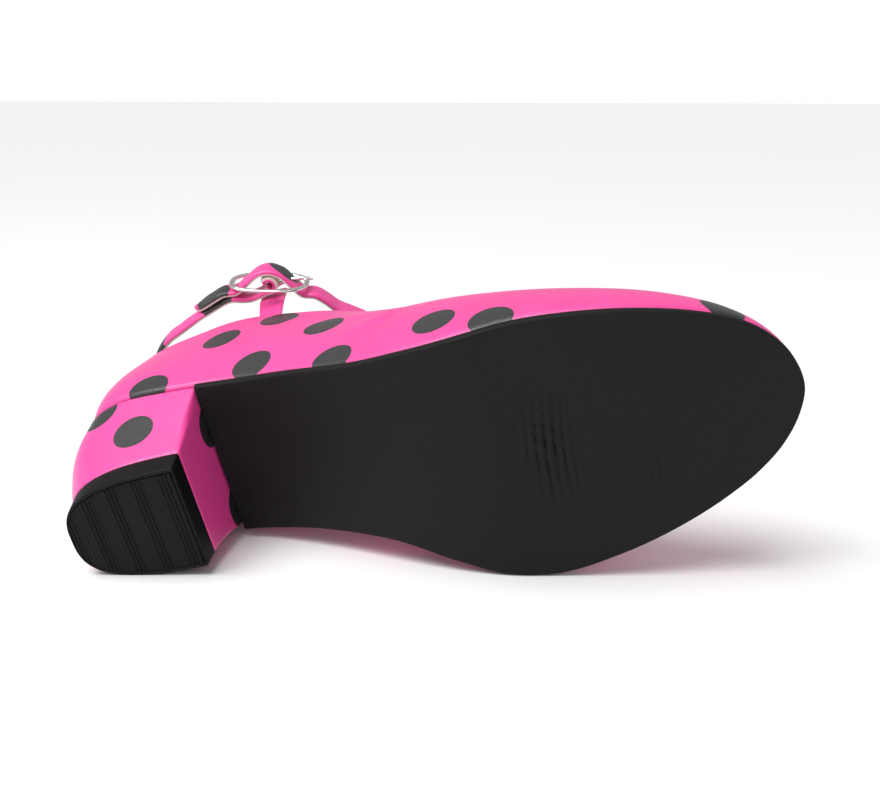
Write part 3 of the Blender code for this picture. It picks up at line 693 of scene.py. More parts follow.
def creases(share, height, sheet):
    """How far the worn upper stands in or out, in metres: drag lines that run from the topline's
    bend towards the ball, gathers at the feather edge round the toe, and slow unevenness.
    """
    fold = np.zeros_like(share)
    for start, lift, slope, length, width, depth in (
        (1.500, 0.36, -2.6, 0.050, 0.040, -0.70),
        (1.490, 0.46, -2.4, 0.050, 0.035, 0.55),
        (1.470, 0.62, -1.5, 0.060, 0.045, -0.45),
        (0.560, 0.45, 2.0, 0.060, 0.050, -0.60),
        (0.600, 0.60, 1.6, 0.050, 0.040, 0.40),
        (1.620, 0.72, 0.6, 0.060, 0.050, -0.30),
    ):
        across = height - lift - slope * (share - start)
        fold += depth * hill(share - start, length) * hill(across, width)
    toe = hill(share - 1.0, 0.34)
    gathers = np.sin(share * np.pi * 190.0 + 2.0 * np.sin(share * 23.0)) * hill(height, 0.10)
    fold += 0.07 * toe * gathers
    fold += 0.10 * ripples(sheet, 0.028, 4)
    return fold * MM


def make_dotted_upper(look):
    half, rows, inner_rows = 230, 72, 18
    sheet = upper_sheet(half, rows)
    share = np.arange(2 * half)[:, None] / half + np.zeros(rows + 1)
    height = np.linspace(0.0, 1.0, rows + 1)[None, :] + np.zeros((2 * half, 1))
    facing_out = normals(sheet, True, False)
    rolled = -0.9 * MM * (1.0 - smoothstep(0.0, 0.03, height)) ** 2
    outer = sheet + facing_out * (creases(share, height, sheet) + rolled)[..., None]
    outer -= facing_out * (0.22 * MM * hill(height - 0.955, 0.006))[..., None]
    lined = sheet - facing_out * WALL
    lined = lined[:, :: rows // inner_rows][:, ::-1]
    angle = np.linspace(0.0, np.pi, 7)[1:-1]
    middle = (outer[:, -1] + lined[:, 0]) / 2
    reach = (outer[:, -1] - lined[:, 0]) / 2
    up = unit(sheet[:, -1] - sheet[:, -3]) * (WALL * 0.55)
    rim = middle[:, None] + reach[:, None] * np.cos(angle)[None, :, None]
    rim += up[:, None] * np.sin(angle)[None, :, None]
    grid = np.concatenate([outer, rim, lined], axis=1)
    seen = np.array(
        [sheet[int(round(s * half)) % (2 * half), int(round(v * rows))] for s, v in UPPER_DOTS]
    )
    flat = sheet.reshape(-1, 3)
    facing = facing_out.reshape(-1, 3) @ TO_EYE
    more = dots_beyond(flat, facing, seen, look.dot_spacing, look.dot_size * 0.62)
    dots = spotted(grid, np.concatenate([seen, more]), look.dot_size / 2)
    cell = np.arange(grid.shape[1])
    lining_from = rows + len(angle)
    bands = np.where((cell > lining_from) & (cell < grid.shape[1] - 1), 1, 0)
    made = made_finishes(look)
    return skin(
        "dotted_upper",
        grid,
        True,
        True,
        (made["dotted leather"], made["cream lining"]),
        bands[None, :],
        dots=dots,
    )


# The sole and the heel


def tread(x, y):
    """Depth of the forefoot's grooves, in metres. Lines cross the sole at an even pitch, a little
    bent; they are deep and narrow in a band at the patch's back, faint elsewhere in its oval.
    """
    u, w = x / MM - 145.0, y / MM - 4.0
    line = u + 0.06 * w - 0.0035 * w**2
    phase = (line / 2.45) % 1.0 - 0.5
    narrow = hill(phase, 0.16)
    oval = 1.0 - smoothstep(0.80, 1.04, np.hypot(u / 31.0, (w - 0.14 * u) / 21.0))
    deep = hill(line + 10.0, 7.0) * hill(w + 4.0 - 0.5 * (line + 10.0), 17.0)
    front = hill(line - 17.0, 11.0) * hill(w - 10.0, 9.0)
    worn = 0.5 + 0.5 * ripples(np.stack([x, y, 0 * x], axis=-1), 0.022, 9)
    return (0.62 * deep + 0.24 * front + 0.10 * worn + 0.05) * oval * narrow * MM


def make_tread_sole(look):
    """The outsole as sections across it, from the heel's breast to the toe: each is a closed loop
    over the underside, the rounded edge, the upper side and the other edge.
    """
    count, across = 400, 72
    bend = np.linspace(0.0, np.pi / 2, 6)
    insets = np.concatenate([1.0 - np.sin(bend), np.zeros(1), 1.0 - np.cos(bend[3:])])
    rises = np.concatenate([1.0 - np.cos(bend), [2.2], 3.1 + 0.45 * np.sin(bend[3:])])
    corner = 0.00055
    rises = rises / rises[-1] * OUTSOLE_THICKNESS
    medial, lateral = inset_sides(0.0, count, SEAT_LENGTH + GAP)
    ahead = [unit(np.gradient(side, axis=0)) for side in (medial, lateral)]
    inwards = [
        np.stack([ahead[0][:, 1], -ahead[0][:, 0]], axis=1),
        np.stack([-ahead[1][:, 1], ahead[1][:, 0]], axis=1),
    ]
    loops, levels = [], []
    share = np.linspace(0.0, 1.0, across)
    low = [side + way * corner for side, way in zip((medial, lateral), inwards)]
    loops.append(low[1][:, None] * (1 - share[None, :, None]) + low[0][:, None] * share[None, :, None])
    levels.append(np.zeros(across))
    loops.append(medial[:, None] + inwards[0][:, None] * (insets * corner)[None, 1:, None])
    levels.append(rises[1:])
    back = np.linspace(0.0, 1.0, 10)[1:-1]
    high = [side + way * corner * insets[-1] for side, way in zip((medial, lateral), inwards)]
    loops.append(high[0][:, None] * (1 - back[None, :, None]) + high[1][:, None] * back[None, :, None])
    levels.append(np.full(len(back), OUTSOLE_THICKNESS))
    loops.append(lateral[:, None] + inwards[1][:, None] * (insets * corner)[None, :0:-1, None])
    levels.append(rises[:0:-1])
    plan = np.concatenate(loops, axis=1)
    level = np.concatenate(levels)[None, :]
    step = 1e-4
    x = plan[..., 0]
    stretch = np.hypot(1.0, (sole_height(x + step) - sole_height(x - step)) / (2 * step))
    z = sole_height(x) + level * stretch
    z[:, :across] += tread(plan[:, :across, 0], plan[:, :across, 1])
    points = np.concatenate([plan, z[..., None]], axis=2)
    uneven = 0.05 * MM * ripples(points[:, 2 : across - 2], 0.035, 12)
    points[:, 2 : across - 2, 2] += np.abs(uneven)
    made = made_finishes(look)
    return skin("tread_sole", capped(points), False, True, (made["sole rubber"],))


def d_ring(length, half_width, roundness, count, soften):
    """A heel's whole outline from above as an even closed ring: both arcs and the straight breast,
    its corners rounded by a running mean over the distance soften.
    """
    arc = heel_arc(length, half_width, roundness, 400)
    ring = np.concatenate([arc[:-1], arc[::-1] * np.array([1.0, -1.0]), arc[:1]])
    ring = evenly(ring, count + 1)[:-1]
    total = np.linalg.norm(np.roll(ring, -1, axis=0) - ring, axis=1).sum()
    reach = max(1, int(round(soften / total * count)))
    weights = np.hanning(2 * reach + 3)[1:-1]
    weights /= weights.sum()
    return sum(w * np.roll(ring, k - reach, axis=0) for k, w in enumerate(weights))


def make_ribbed_lift(look):
    """The lift as rings from its ground face up: a flat rim, a fine line round the ribbed field,
    the wall and the hidden top. The ribs are a thin plate of their own, sections along the shoe.
    """
    count = 320
    rings = []
    for inset, height in (
        (8.0, 0.60),
        (1.45, 0.60),
        (1.15, 0.42),
        (1.05, 0.10),
        (0.85, 0.00),
        (0.45, 0.00),
        (0.15, 0.08),
        (0.03, 0.25),
        (-0.02, 0.60),
        (-0.35, 4.50),
        (-0.55, 6.90),
        (-0.50, 7.25),
        (-0.20, 7.45),
        (4.00, 7.50),
    ):
        ring = d_ring(
            LIFT_LENGTH - inset * MM,
            LIFT_HALF_WIDTH - inset * MM,
            LIFT_ROUNDNESS,
            count,
            0.7 * MM,
        )
        ring[:, 0] += max(inset, 0.0) * MM * 0.5
        rings.append(raised(ring, height * MM))
    made = made_finishes(look)
    lift = skin("ribbed_lift", capped(np.array(rings)), False, True, (made["lift rubber"],))
    field = 1.35 * MM
    x = np.linspace(0.0, 1.0, 300)
    x = field * 0.6 + (LIFT_LENGTH - 1.5 * field) * x**1.15
    arc = heel_arc(LIFT_LENGTH - 0.9 * field, LIFT_HALF_WIDTH - field, LIFT_ROUNDNESS, 300)
    half = np.interp(x, arc[:, 0] + 0.45 * field, arc[:, 1])
    pitch = look.rib_pitch
    wave = 0.5 - 0.5 * np.cos(2 * np.pi * x / pitch)
    strong = 0.45 + 0.55 * smoothstep(-0.2, 0.5, np.sin(2 * np.pi * x / (7.5 * MM) + 0.6))
    depth = look.rib_depth * wave**2 * strong
    share = np.linspace(-1.0, 1.0, 40)
    y = half[:, None] * share[None, :]
    worn = 0.02 * MM * ripples(raised(np.stack([x[:, None] + 0 * y, y], axis=-1), 0.0), 0.006, 3)
    ground = np.stack([x[:, None] + 0 * y, y, depth[:, None] + np.abs(worn)], axis=-1)
    top = ground[:, ::-6].copy()
    top[..., 2] = 0.9 * MM
    plate = skin(
        "lift_ribs",
        capped(np.concatenate([ground, top], axis=1)),
        False,
        True,
        (made["lift rubber"],),
    )
    return lift, plate


def heel_cover_rings(count, levels):
    """The covered heel as closed rings from the lift to the seat: the D of the lift grows to the D
    of the seat, the back swells between them, and each ring slopes towards the seat's own.
    """
    foot = d_ring(
        LIFT_LENGTH + LIFT_FLARE, LIFT_HALF_WIDTH + LIFT_FLARE, LIFT_ROUNDNESS, count, 1.5 * MM
    )
    seat = d_ring(SEAT_LENGTH, SEAT_HALF_WIDTH, SEAT_ROUNDNESS, count, 1.5 * MM)
    seat[:, 1] *= 1.0 - 2 * FEATHER_INSET / SEAT_HALF_WIDTH
    table = np.array(HEEL_SECTIONS)
    size, swell = cubic(table[:, 0], table[:, 1:], levels).T
    low = LIFT_THICKNESS + GAP
    plan = foot[None] * (1.0 - size[:, None, None]) + seat[None] * size[:, None, None]
    back = np.clip(1.0 - plan[..., 0] / SEAT_LENGTH, 0.0, 1.0)
    plan[..., 0] -= HEEL_SWELL * swell[:, None] * back**2
    z = low * (1.0 - levels[:, None]) + seat_height(plan[..., 0]) * levels[:, None]
    return np.concatenate([plan, z[..., None]], axis=2)


def make_covered_heel(look):
    count = 340
    levels = np.concatenate([[0.0, 0.004], np.linspace(0.015, 0.985, 70), [0.996, 1.0]])
    rings = heel_cover_rings(count, levels)
    middle = rings.mean(axis=1, keepdims=True)
    tuck = 1.0 - 0.30 * MM / 0.018 * np.maximum(
        1.0 - smoothstep(0.0, 0.015, levels), smoothstep(0.975, 1.0, levels)
    )
    rings[..., :2] = middle[..., :2] + (rings[..., :2] - middle[..., :2]) * tuck[:, None, None]
    facing_out = -normals(rings, False, True)
    outward = np.sign(np.sum((rings - middle) * facing_out, axis=2).mean())
    facing_out *= outward
    fold = 0.06 * ripples(rings, 0.016, 21)
    overlap = smoothstep(-1.6, -0.4, rings[..., 1] / MM) * (rings[..., 0] > 0.030)
    fold -= 0.16 * overlap * smoothstep(22.0, 0.5, rings[..., 1] / MM)
    rings = rings + facing_out * (fold * MM)[..., None]
    seen = np.array(HEEL_DOTS) * MM
    facing = (facing_out @ TO_EYE).reshape(-1)
    more = dots_beyond(rings.reshape(-1, 3), facing, seen, 0.021, 0.006)
    dots = spotted(rings, np.concatenate([seen, more]), look.heel_dot_size / 2)
    made = made_finishes(look)
    grid = capped(rings)
    dots = np.concatenate([dots[:1], dots, dots[-1:]])
    return skin("covered_heel", grid, False, True, (made["heel leather"],), dots=dots)


# The strap, its carriers and the buckle


def strap_level(x):
    """Height of the strap's middle line, which rises a little towards the toe."""
    middle = COLLAR_HEIGHT + STRAP_ABOVE_COLLAR
    return middle + STRAP_RISE * (x - BUCKLE_ALONG * SHOE_LENGTH)


def bar_place():
    """Middle of the buckle's bar, seen from above."""
    return np.array([BUCKLE_ALONG * SHOE_LENGTH, BUCKLE_ASIDE * BALL_WIDTH])


def beside_bar(offsets):
    """Places seen from above, from steps along the buckle and out of its plane, off its bar: the
    steps turned by the buckle's own turn.
    """
    turn = np.radians(BUCKLE_TURN)
    along = np.array([np.cos(turn), np.sin(turn)])
    aside = np.array([-np.sin(turn), np.cos(turn)])
    offsets = np.asarray(offsets, float)
    return bar_place() + offsets[:, :1] * along + offsets[:, 1:] * aside


def eye_radius():
    """Radius of the strap's middle line where its end turns round the bar."""
    return BAR_WIRE / 2 + GAP + STRAP_THICKNESS / 2


def under_frame():
    """How far inside the frame's wire the strap's middle line passes."""
    return (BUCKLE_WIRE + STRAP_THICKNESS) / 2 + 2 * GAP


def strap_line(dense):
    """The strap's middle line from above: its eye round the bar, back along the outer side, round
    the ankle, out through the buckle, over the bar in a hump, and its tip over its first stretch.
    """
    layer = STRAP_THICKNESS + 2 * GAP
    side = BUCKLE_LENGTH / 2
    over = eye_radius() + layer
    inside = under_frame()
    turn = np.radians(np.linspace(-150.0, 90.0, 9))
    eye = beside_bar(eye_radius() * np.stack([np.cos(turn), np.sin(turn)], axis=1))
    route = np.array(STRAP_ROUTE) * np.array([SHOE_LENGTH, BALL_WIDTH])
    leaves = (-EYE_LEAVES[0] * side, EYE_LEAVES[1] * (inside + layer))
    first = beside_bar([leaves, (-side, inside + layer + GAP)])
    rising = np.array(
        [
            (HUMP_LEAVES[0] * side, inside + 2 * GAP),
            (HUMP_LEAVES[1] * side, inside + GAP),
            (HUMP_CROSSES[0] * side, -HUMP_CROSSES[1] * over),
            (HUMP_TURNS[0] * side, -HUMP_TURNS[1] * over),
            (0.0, -over),
        ]
    )
    falling = rising[-2::-1] * np.array([-1.0, 1.0])
    hump = beside_bar(np.concatenate([rising, falling]))
    ahead = unit(route[1] - first[1])
    out = np.array([-ahead[1], ahead[0]])
    tip = [route[0] + out * layer, (route[0] + route[1]) / 2 + out * layer]
    return through(np.concatenate([eye, first, route, hump, tip]), dense)


def band_profile(width, thickness):
    """A band's section, closed: the leather's crowned face and folded edges, then the lining a
    little inside them. Pairs run from one edge over the face to the other and back underneath.
    """
    a = np.linspace(-1.0, 1.0, 15)
    crown = 0.5 * thickness * (1.0 - 0.30 * np.abs(a) ** 4)
    face = np.stack([a * (width / 2 - 0.0003), crown], axis=1)
    half = width / 2
    step = -0.12 * thickness
    edge = np.array([(half, 0.12 * thickness), (half, step), (half - 0.00025, step - 0.00004)])
    under = np.array(
        [(half - 0.00022, -0.44 * thickness), (half - 0.0006, -0.5 * thickness)]
    )
    flip = np.array([-1.0, 1.0])
    return np.concatenate(
        [face, edge, under, [(0.0, -0.5 * thickness)], (under * flip)[::-1], (edge * flip)[::-1]]
    )


def make_buckled_strap(look):
    plan = evenly(strap_line(12), 620)
    line = raised(plan, strap_level)
    along = lengths_along(line)
    line[:, 2] += 0.25 * MM * np.sin(along / 0.0085) * smoothstep(0.0, 0.02, along)
    across = np.array([0.0, 0.0, 1.0])
    profile = band_profile(STRAP_WIDTH, STRAP_THICKNESS)
    ahead = unit(np.gradient(line, axis=0))
    face = -np.cross(ahead, across)
    tip = smoothstep(along[-1], along[-1] - 0.0045, along)
    narrow = 0.25 + 0.75 * np.sqrt(np.clip(tip, 0.0, 1.0))
    shape = profile[None] * np.stack([narrow, np.ones_like(narrow)], axis=1)[:, None, :]
    grid = (
        line[:, None]
        + across * shape[..., :1]
        + unit(face)[:, None] * shape[..., 1:]
    )
    grid += unit(face)[:, None] * (0.10 * MM * ripples(grid, 0.007, 5))[..., None]
    seen = np.array(STRAP_DOTS) * MM
    facing = (unit(face) @ TO_EYE) - 0.35
    more = dots_beyond(line, facing, seen, 0.022, 0.004)
    dots = spotted(grid, np.concatenate([seen, more]), look.dot_size / 2)
    grid = capped(grid)
    dots = np.concatenate([dots[:1], dots, dots[-1:]])
    cell = np.arange(len(profile))
    bands = np.where((cell >= 16) & (cell <= 22), 1, 0)
    made = made_finishes(look)
    return skin(
        "buckled_strap",
        grid,
        False,
        True,
        (made["strap leather"], made["cream lining"]),
        bands[None, :],
        dots=dots,
    )


def topline(x, side):
    """How far aside the topline stands at x on the medial (1) or lateral (-1) side, and how high."""
    top = upper_sheet(40, 1)[:, -1]
    line = top[:41] if side > 0 else np.roll(top[::-1], 1, axis=0)[:41]
    return np.interp(x, line[:, 0], line[:, 1]), np.interp(x, line[:, 0], line[:, 2])


def tab_plan():
    """The outer tab as (aside, up) points: sewn inside the topline, up behind the strap."""
    x, y = bar_place()
    aside, top = topline(x, -1)
    seam = -aside - WALL - GAP - TAB_THICKNESS / 2
    behind = -y - TAB_BEHIND_BAR
    level = strap_level(x)
    low = level - STRAP_WIDTH / 2
    return np.array(
        [
            (seam, top - TAB_SEAM),
            (seam, top - TAB_SEAM / 2),
            (seam, top),
            (seam + TAB_BEND[0] * (behind - seam), top + TAB_BEND[1] * (low - top)),
            (behind, low),
            (behind, level),
            (behind, level + STRAP_WIDTH / 2),
        ]
    )


def loop_plan():
    """The inner loop as (aside, up) points: sewn inside the topline, round the strap."""
    route = through(np.array(STRAP_ROUTE) * np.array([SHOE_LENGTH, BALL_WIDTH]), 8)
    x = bar_place()[0]
    inner = route[route[:, 1] > 0]
    middle = float(np.interp(x, inner[:, 0], inner[:, 1]))
    aside, top = topline(x, 1)
    seam = aside - WALL - GAP - TAB_THICKNESS / 2
    clear = STRAP_THICKNESS / 2 + LOOP_EASE + TAB_THICKNESS / 2
    tall = STRAP_WIDTH / 2 + 2 * GAP + TAB_THICKNESS / 2
    level = strap_level(x)
    low, high = level - tall, level + tall
    return np.array(
        [
            (seam, top - TAB_SEAM),
            (seam, top),
            (middle - clear, low),
            (middle - clear, level),
            (middle - clear, high),
            (middle + clear, high),
            (middle + clear, level),
            (middle + clear, low),
            (middle - clear + TAB_THICKNESS + 2 * GAP, low),
        ]
    )


def make_carrier(name, plan, side, look, pinch):
    """A strip along a line of (aside, up) points, as wide as the tab and a little narrower where it
    bends, with the band's section turned to face out.
    """
    corners = evenly(plan, 160)
    soft = corners.copy()
    for _ in range(3):
        soft[1:-1] = (soft[:-2] + soft[1:-1] + soft[2:]) / 3
    x = bar_place()[0]
    line = np.stack([np.full(len(soft), x), side * soft[:, 0], soft[:, 1]], axis=1)
    along = lengths_along(line)
    profile = band_profile(TAB_WIDTH, TAB_THICKNESS)
    waist = 1.0 - pinch * hill(along - 0.45 * along[-1], 0.2 * along[-1])
    shape = profile[None] * np.stack([waist, np.ones_like(waist)], axis=1)[:, None, :]
    grid = carried(line, np.array([side * 1.0, 0.0, 0.0]), shape)
    grid[..., 1] += 0.12 * MM * ripples(grid, 0.005, 8)
    made = made_finishes(look)
    dots = np.full(grid.shape[:2], 9.0)
    dots = np.concatenate([dots[:1], dots, dots[-1:]])
    cell = np.arange(len(profile))
    bands = np.where((cell >= 16) & (cell <= 22), 1, 0)
    return skin(
        name,
        capped(grid),
        False,
        True,
        (made["strap leather"], made["cream lining"]),
        bands[None, :],
        dots=dots,
    )


def buckle_ring(count):
    """The frame's middle line: a superellipse upright beside the ankle, tilted with the strap."""
    angle = np.linspace(0.0, 2 * np.pi, count, endpoint=False)
    across = (BUCKLE_LENGTH - BUCKLE_WIRE) / 2
    tall = (BUCKLE_HEIGHT - BUCKLE_WIRE) / 2
    power = 2.0 / FRAME_ROUNDNESS
    along = across * np.sign(np.cos(angle)) * np.abs(np.cos(angle)) ** power
    above = tall * np.sign(np.sin(angle)) * np.abs(np.sin(angle)) ** power
    ring = raised(beside_bar(np.stack([along, np.zeros_like(along)], axis=1)), strap_level)
    ring[:, 2] += above
    return evenly(np.concatenate([ring, ring[:1]]), count + 1)[:-1]


def ring_tube(path, aside, profile):
    """A profile carried round a closed path: a along aside, b square to it and to the path."""
    ahead = unit(np.roll(path, -1, axis=0) - np.roll(path, 1, axis=0))
    other = unit(np.cross(ahead, aside))
    return path[:, None] + aside * profile[None, :, :1] + other[:, None] * profile[None, :, 1:]


def make_wire_buckle(look):
    """The frame, a flattened wire, with its bar; the bar's ends sink into the frame."""
    made = made_finishes(look)
    path = buckle_ring(240)
    profile = round_profile(look.frame_thickness, BUCKLE_WIRE, 16, 2.3)
    turn = np.radians(BUCKLE_TURN)
    ring = ring_tube(path, np.array([-np.sin(turn), np.cos(turn), 0.0]), profile)
    frame_piece = skin("wire_frame", ring, True, True, (made["bright nickel"],))
    x, y = bar_place()
    tall = (BUCKLE_HEIGHT - BUCKLE_WIRE) / 2
    z = strap_level(x) + np.linspace(-tall, tall, 24)
    line = np.stack([np.full(24, x), np.full(24, y), z], axis=1)
    rod = carried(line, np.array([1.0, 0.0, 0.0]), round_profile(BAR_WIRE, BAR_WIRE, 12))
    bar = skin("wire_bar", capped(rod), False, True, (made["bright nickel"],))
    return frame_piece, bar


def make_wire_prong(look):
    """The prong: a turn round the bar, out through the strap's hole and over the frame."""
    radius = (BAR_WIRE + PRONG_WIRE) / 2 + GAP
    over = (BUCKLE_WIRE + PRONG_WIRE) / 2 + GAP
    turn = np.radians(np.linspace(330.0, 80.0, 10))
    coil = radius * np.stack([np.cos(turn), np.sin(turn)], axis=1)
    shank = np.array(PRONG_ROUTE) * np.array([BUCKLE_LENGTH / 2, -over])
    plan = evenly(through(beside_bar(np.concatenate([coil, shank])), 12), 90)
    line = raised(plan, strap_level(bar_place()[0]))
    thick = PRONG_WIRE * (1.0 - 0.35 * smoothstep(0.75, 1.0, np.linspace(0.0, 1.0, 90)))
    profile = round_profile(1.0, 1.0, 12)[None] * thick[:, None, None]
    rod = carried(line, np.array([0.0, 0.0, 1.0]), profile)
    made = made_finishes(look)
    return skin("wire_prong", capped(rod), False, True, (made["bright nickel"],))


def make_sock_lining(look):
    """The insole: rings from its underside to its face, drawn in at the edge, closed in a line."""
    half = 200
    inset = FEATHER_INSET + WALL + 2 * GAP
    rings = []
    for more, level in (
        (14.0, 0.0),
        (0.5, 0.0),
        (0.1, 0.4),
        (0.0, 1.1),
        (0.2, 1.7),
        (0.7, 1.95),
        (1.6, 2.0),
        (5.0, 1.9),
        (10.0, 1.75),
        (14.0, 1.7),
    ):
        sides = inset_sides(inset + min(more, 1.6) * MM, half + 1)
        ring = np.concatenate([sides[0], sides[1][-2:0:-1]])
        squeeze = max(more - 1.6, 0.0) / 12.5
        ring[:, 1] *= 1.0 - squeeze
        ring[:, 0] += (0.1 - ring[:, 0]) * squeeze * 0.10
        rings.append(raised(ring, lambda x, z=level: seat_height(x) + GAP + z * MM))
    made = made_finishes(look)
    return skin("sock_lining", np.array(rings), False, True, (made["sock cloth"],))


# The add-on


class ShoeLook(bpy.types.PropertyGroup):
    """Colours and sizes of the shoe's surfaces."""

    def colour(name, description, default):
        return bpy.props.FloatVectorProperty(
            name=name,
            description=description,
            default=default,
            subtype="COLOR",
            size=3,
            min=0.0,
            max=1.0,
        )

    def length(name, description, default):
        return bpy.props.FloatProperty(
            name=name, description=description, default=default, unit="LENGTH", min=0.0
        )

    pink: colour("Pink", "Colour of the leather cloth", (0.80, 0.055, 0.30))
    dot_black: colour("Dots", "Colour of the printed dots", (0.018, 0.018, 0.020))
    rubber: colour("Sole", "Colour of the sole's rubber", (0.0065, 0.0062, 0.0065))
    lift_rubber: colour("Lift", "Colour of the lift's rubber", (0.0030, 0.0030, 0.0033))
    lining: colour("Lining", "Colour of the backing cloth", (0.78, 0.70, 0.64))
    sock: colour("Sock", "Colour of the sock lining", (0.70, 0.55, 0.50))
    thread: colour("Cut edge", "Colour of cut edges and loose threads", (0.85, 0.82, 0.80))
    pink_thread: colour("Thread", "Colour of the sewing thread", (0.70, 0.07, 0.28))
    nickel: colour("Nickel", "Colour of the buckle", (0.82, 0.80, 0.77))
    dot_size: length("Dot size", "Width of a dot on the upper", 0.0125)
    dot_spacing: length("Dot spacing", "Least distance between unseen dots", 0.0205)
    heel_dot_size: length("Heel dot size", "Width of a dot on the heel", 0.0124)
    leather_grain: length("Grain", "Depth of the leather cloth's grain", 0.00005)
    rubber_grain: length("Mould grain", "Depth of the rubber's grain", 0.00006)
    rib_pitch: length("Rib pitch", "Distance between the lift's ribs", 0.0011)
    rib_depth: length("Rib depth", "Depth between the lift's ribs", 0.00035)
    frame_thickness: length("Frame", "Thickness of the buckle's flattened wire", 0.00115)
    leather_roughness: bpy.props.FloatProperty(
        name="Leather roughness",
        description="Roughness of the leather cloth",
        default=0.36,
        min=0.05,
        max=1.0,
    )
    leather_coat: bpy.props.FloatProperty(
        name="Leather coat",
        description="Weight of the leather cloth's clear coat",
        default=0.25,
        min=0.0,
        max=1.0,
    )
    rubber_gloss: bpy.props.FloatProperty(
        name="Rubber gloss",
        description="Strength of the rubber's reflections",
        default=0.16,
        min=0.0,
        max=1.0,
    )


class StageLook(bpy.types.PropertyGroup):
    """The floor and the light around the shoe."""

    floor: bpy.props.FloatVectorProperty(
        name="Floor",
        description="Colour of the floor",
        default=(0.90, 0.90, 0.90),
        subtype="COLOR",
        size=3,
    )
    sky: bpy.props.FloatProperty(
        name="Sky", description="Strength of the even light all round", default=0.42, min=0.0
    )
    sun: bpy.props.FloatProperty(
        name="Sun", description="Strength of the wide soft light from above", default=2.4, min=0.0
    )
    key: bpy.props.FloatProperty(
        name="Key", description="Power of the panel over the heel", default=3.0, min=0.0
    )
    fill: bpy.props.FloatProperty(
        name="Fill", description="Power of the panel in front", default=1.6, min=0.0
    )


def stand_for(piece, node):
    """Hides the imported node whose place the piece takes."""
    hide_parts(node)


class UpperOperator(bpy.types.Operator):
    """Make the dotted upper with its lining"""

    bl_idname = "flamenco_shoe.upper"
    bl_label = "Upper"

    def execute(self, context):
        stand_for(make_dotted_upper(context.scene.shoe_look), "upper")
        return {"FINISHED"}


class SoleOperator(bpy.types.Operator):
    """Make the rubber outsole with its worn tread"""

    bl_idname = "flamenco_shoe.sole"
    bl_label = "Outsole"

    def execute(self, context):
        stand_for(make_tread_sole(context.scene.shoe_look), "outsole")
        return {"FINISHED"}


class LiftOperator(bpy.types.Operator):
    """Make the ribbed lift under the heel"""

    bl_idname = "flamenco_shoe.lift"
    bl_label = "Heel lift"

    def execute(self, context):
        lift, ribs = make_ribbed_lift(context.scene.shoe_look)
        stand_for(lift, "heel_lift")
        return {"FINISHED"}


class HeelOperator(bpy.types.Operator):
    """Make the covered block heel"""

    bl_idname = "flamenco_shoe.heel"
    bl_label = "Heel"

    def execute(self, context):
        stand_for(make_covered_heel(context.scene.shoe_look), "heel")
        return {"FINISHED"}


class SockOperator(bpy.types.Operator):
    """Make the insole with its sock lining"""

    bl_idname = "flamenco_shoe.sock"
    bl_label = "Sock lining"

    def execute(self, context):
        stand_for(make_sock_lining(context.scene.shoe_look), "insole")
        return {"FINISHED"}


class StrapOperator(bpy.types.Operator):
    """Make the ankle strap with its outer tab and inner loop"""

    bl_idname = "flamenco_shoe.strap"
    bl_label = "Strap"

    def execute(self, context):
        look = context.scene.shoe_look
        stand_for(make_buckled_strap(look), "ankle_strap")
        tab = make_carrier("outer_tab", tab_plan(), -1, look, 0.10)
        stand_for(tab, "strap_tab_lateral")
        loop = make_carrier("inner_loop", loop_plan(), 1, look, 0.0)
        stand_for(loop, "strap_loop_medial")
        return {"FINISHED"}


class BuckleOperator(bpy.types.Operator):
    """Make the wire buckle with its prong"""

    bl_idname = "flamenco_shoe.buckle"
    bl_label = "Buckle"

    def execute(self, context):
        look = context.scene.shoe_look
        ring, bar = make_wire_buckle(look)
        stand_for(ring, "buckle_frame")
        stand_for(make_wire_prong(look), "buckle_prong")
        return {"FINISHED"}


def soft_light(name, spot, aim, size, power, tint):
    """A large square light that looks at a point."""
    lamp = bpy.data.lights.new(name, "AREA")
    lamp.shape = "RECTANGLE"
    lamp.size, lamp.size_y = size
    lamp.energy = power
    lamp.color = tint
    obj = bpy.data.objects.new(name, lamp)
    bpy.context.scene.collection.objects.link(obj)
    back = unit(np.array(spot) - np.array(aim))
    across = unit(np.cross((0.0, 0.0, 1.0), back))
    axes = np.stack([across, np.cross(back, across), back], axis=1)
    turn = Matrix(axes.tolist()).to_4x4()
    turn.translation = spot
    obj.matrix_world = turn
    return obj


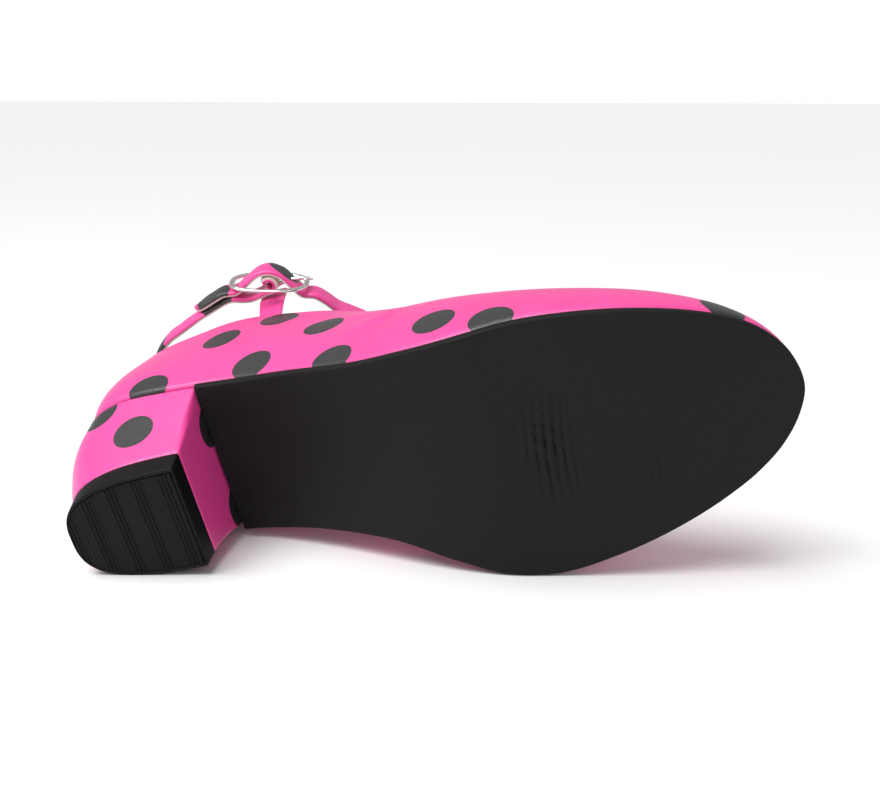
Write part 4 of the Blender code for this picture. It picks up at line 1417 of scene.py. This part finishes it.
class StageOperator(bpy.types.Operator):
    """Make the floor, the light and the camera"""

    bl_idname = "flamenco_shoe.stage"
    bl_label = "Stage"

    def execute(self, context):
        stage = context.scene.stage_look
        mesh = bpy.data.meshes.new("pale_floor")
        reach = 6.0
        corners = [(-reach, -reach, 0), (reach, -reach, 0), (reach, reach, 0), (-reach, reach, 0)]
        mesh.from_pydata(corners, [], [(0, 1, 2, 3)])
        floor = bpy.data.objects.new("pale_floor", mesh)
        context.scene.collection.objects.link(floor)
        paint, tree, shader = finish("floor paint", stage.floor, 0.55)
        tone = texture(tree, "ShaderNodeTexNoise", 3.0, Detail=2.0)
        even = np.array(stage.floor)
        tree.links.new(
            blended(tree, tone.outputs["Fac"], even * 0.99, even * 1.01),
            shader.inputs["Base Color"],
        )
        mesh.materials.append(paint)
        world = bpy.data.worlds.new("white room")
        world.use_nodes = True
        tree = world.node_tree
        sky = tree.nodes["Background"]
        sky.inputs["Color"].default_value = (1.0, 1.0, 1.0, 1.0)
        sky.inputs["Strength"].default_value = stage.sky
        backdrop = tree.nodes.new("ShaderNodeBackground")
        backdrop.inputs["Color"].default_value = (1.0, 1.0, 1.0, 1.0)
        rays = tree.nodes.new("ShaderNodeLightPath")
        either = tree.nodes.new("ShaderNodeMixShader")
        tree.links.new(rays.outputs["Is Camera Ray"], either.inputs[0])
        tree.links.new(sky.outputs[0], either.inputs[1])
        tree.links.new(backdrop.outputs[0], either.inputs[2])
        tree.links.new(either.outputs[0], tree.nodes["World Output"].inputs["Surface"])
        context.scene.world = world
        aim = (0.0, 0.0, 0.03)
        soft_light("light_above", (-0.45, -0.30, 0.75), aim, (0.5, 0.35), stage.key, (1, 1, 1))
        soft_light("light_front", (0.25, -1.0, 0.50), aim, (0.8, 0.4), stage.fill, (1, 1, 1))
        lamp = bpy.data.lights.new("light_wide", "SUN")
        lamp.energy = stage.sun
        lamp.angle = np.radians(50.0)
        wide = bpy.data.objects.new("light_wide", lamp)
        context.scene.collection.objects.link(wide)
        wide.rotation_euler = np.radians((18.0, -22.0, 0.0))
        lens = bpy.data.cameras.new("camera")
        lens.sensor_width = 36.0
        lens.lens = EYE_LENS
        lens.clip_start = 0.01
        eye = bpy.data.objects.new("camera", lens)
        context.scene.collection.objects.link(eye)
        back = TURN @ unit(TO_EYE)
        right = TURN @ np.array(EYE_RIGHT)
        right = unit(right - back * (right @ back))
        axes = np.stack([right, np.cross(back, right), back], axis=1)
        turn = Matrix(axes.tolist()).to_4x4()
        turn.translation = place(np.array(EYE_PLACE) * MM)
        eye.matrix_world = turn
        context.scene.camera = eye
        context.scene.view_settings.view_transform = "Standard"
        return {"FINISHED"}


class ShoePanel(bpy.types.Panel):
    """Lists the shoe's pieces and the stage"""

    bl_idname = "VIEW3D_PT_flamenco_shoe"
    bl_label = "Flamenco Shoe"
    bl_space_type = "VIEW_3D"
    bl_region_type = "UI"
    bl_category = "Flamenco Shoe"

    def draw(self, context):
        for operator in OPERATORS:
            self.layout.operator(operator.bl_idname)
        for group in (context.scene.shoe_look, context.scene.stage_look):
            for name in group.__annotations__:
                self.layout.prop(group, name)


OPERATORS = (
    UpperOperator,
    SoleOperator,
    LiftOperator,
    HeelOperator,
    SockOperator,
    StrapOperator,
    BuckleOperator,
    StageOperator,
)
CLASSES = (ShoeLook, StageLook, *OPERATORS, ShoePanel)


def register():
    for cls in CLASSES:
        bpy.utils.register_class(cls)
    bpy.types.Scene.shoe_look = bpy.props.PointerProperty(type=ShoeLook)
    bpy.types.Scene.stage_look = bpy.props.PointerProperty(type=StageLook)


def unregister():
    del bpy.types.Scene.shoe_look
    del bpy.types.Scene.stage_look
    for cls in reversed(CLASSES):
        bpy.utils.unregister_class(cls)


def main():
    register()
    bpy.ops.flamenco_shoe.upper()
    bpy.ops.flamenco_shoe.sole()
    bpy.ops.flamenco_shoe.lift()
    bpy.ops.flamenco_shoe.heel()
    bpy.ops.flamenco_shoe.sock()
    bpy.ops.flamenco_shoe.strap()
    bpy.ops.flamenco_shoe.buckle()
    bpy.ops.flamenco_shoe.stage()


if __name__ == "__main__":
    main()
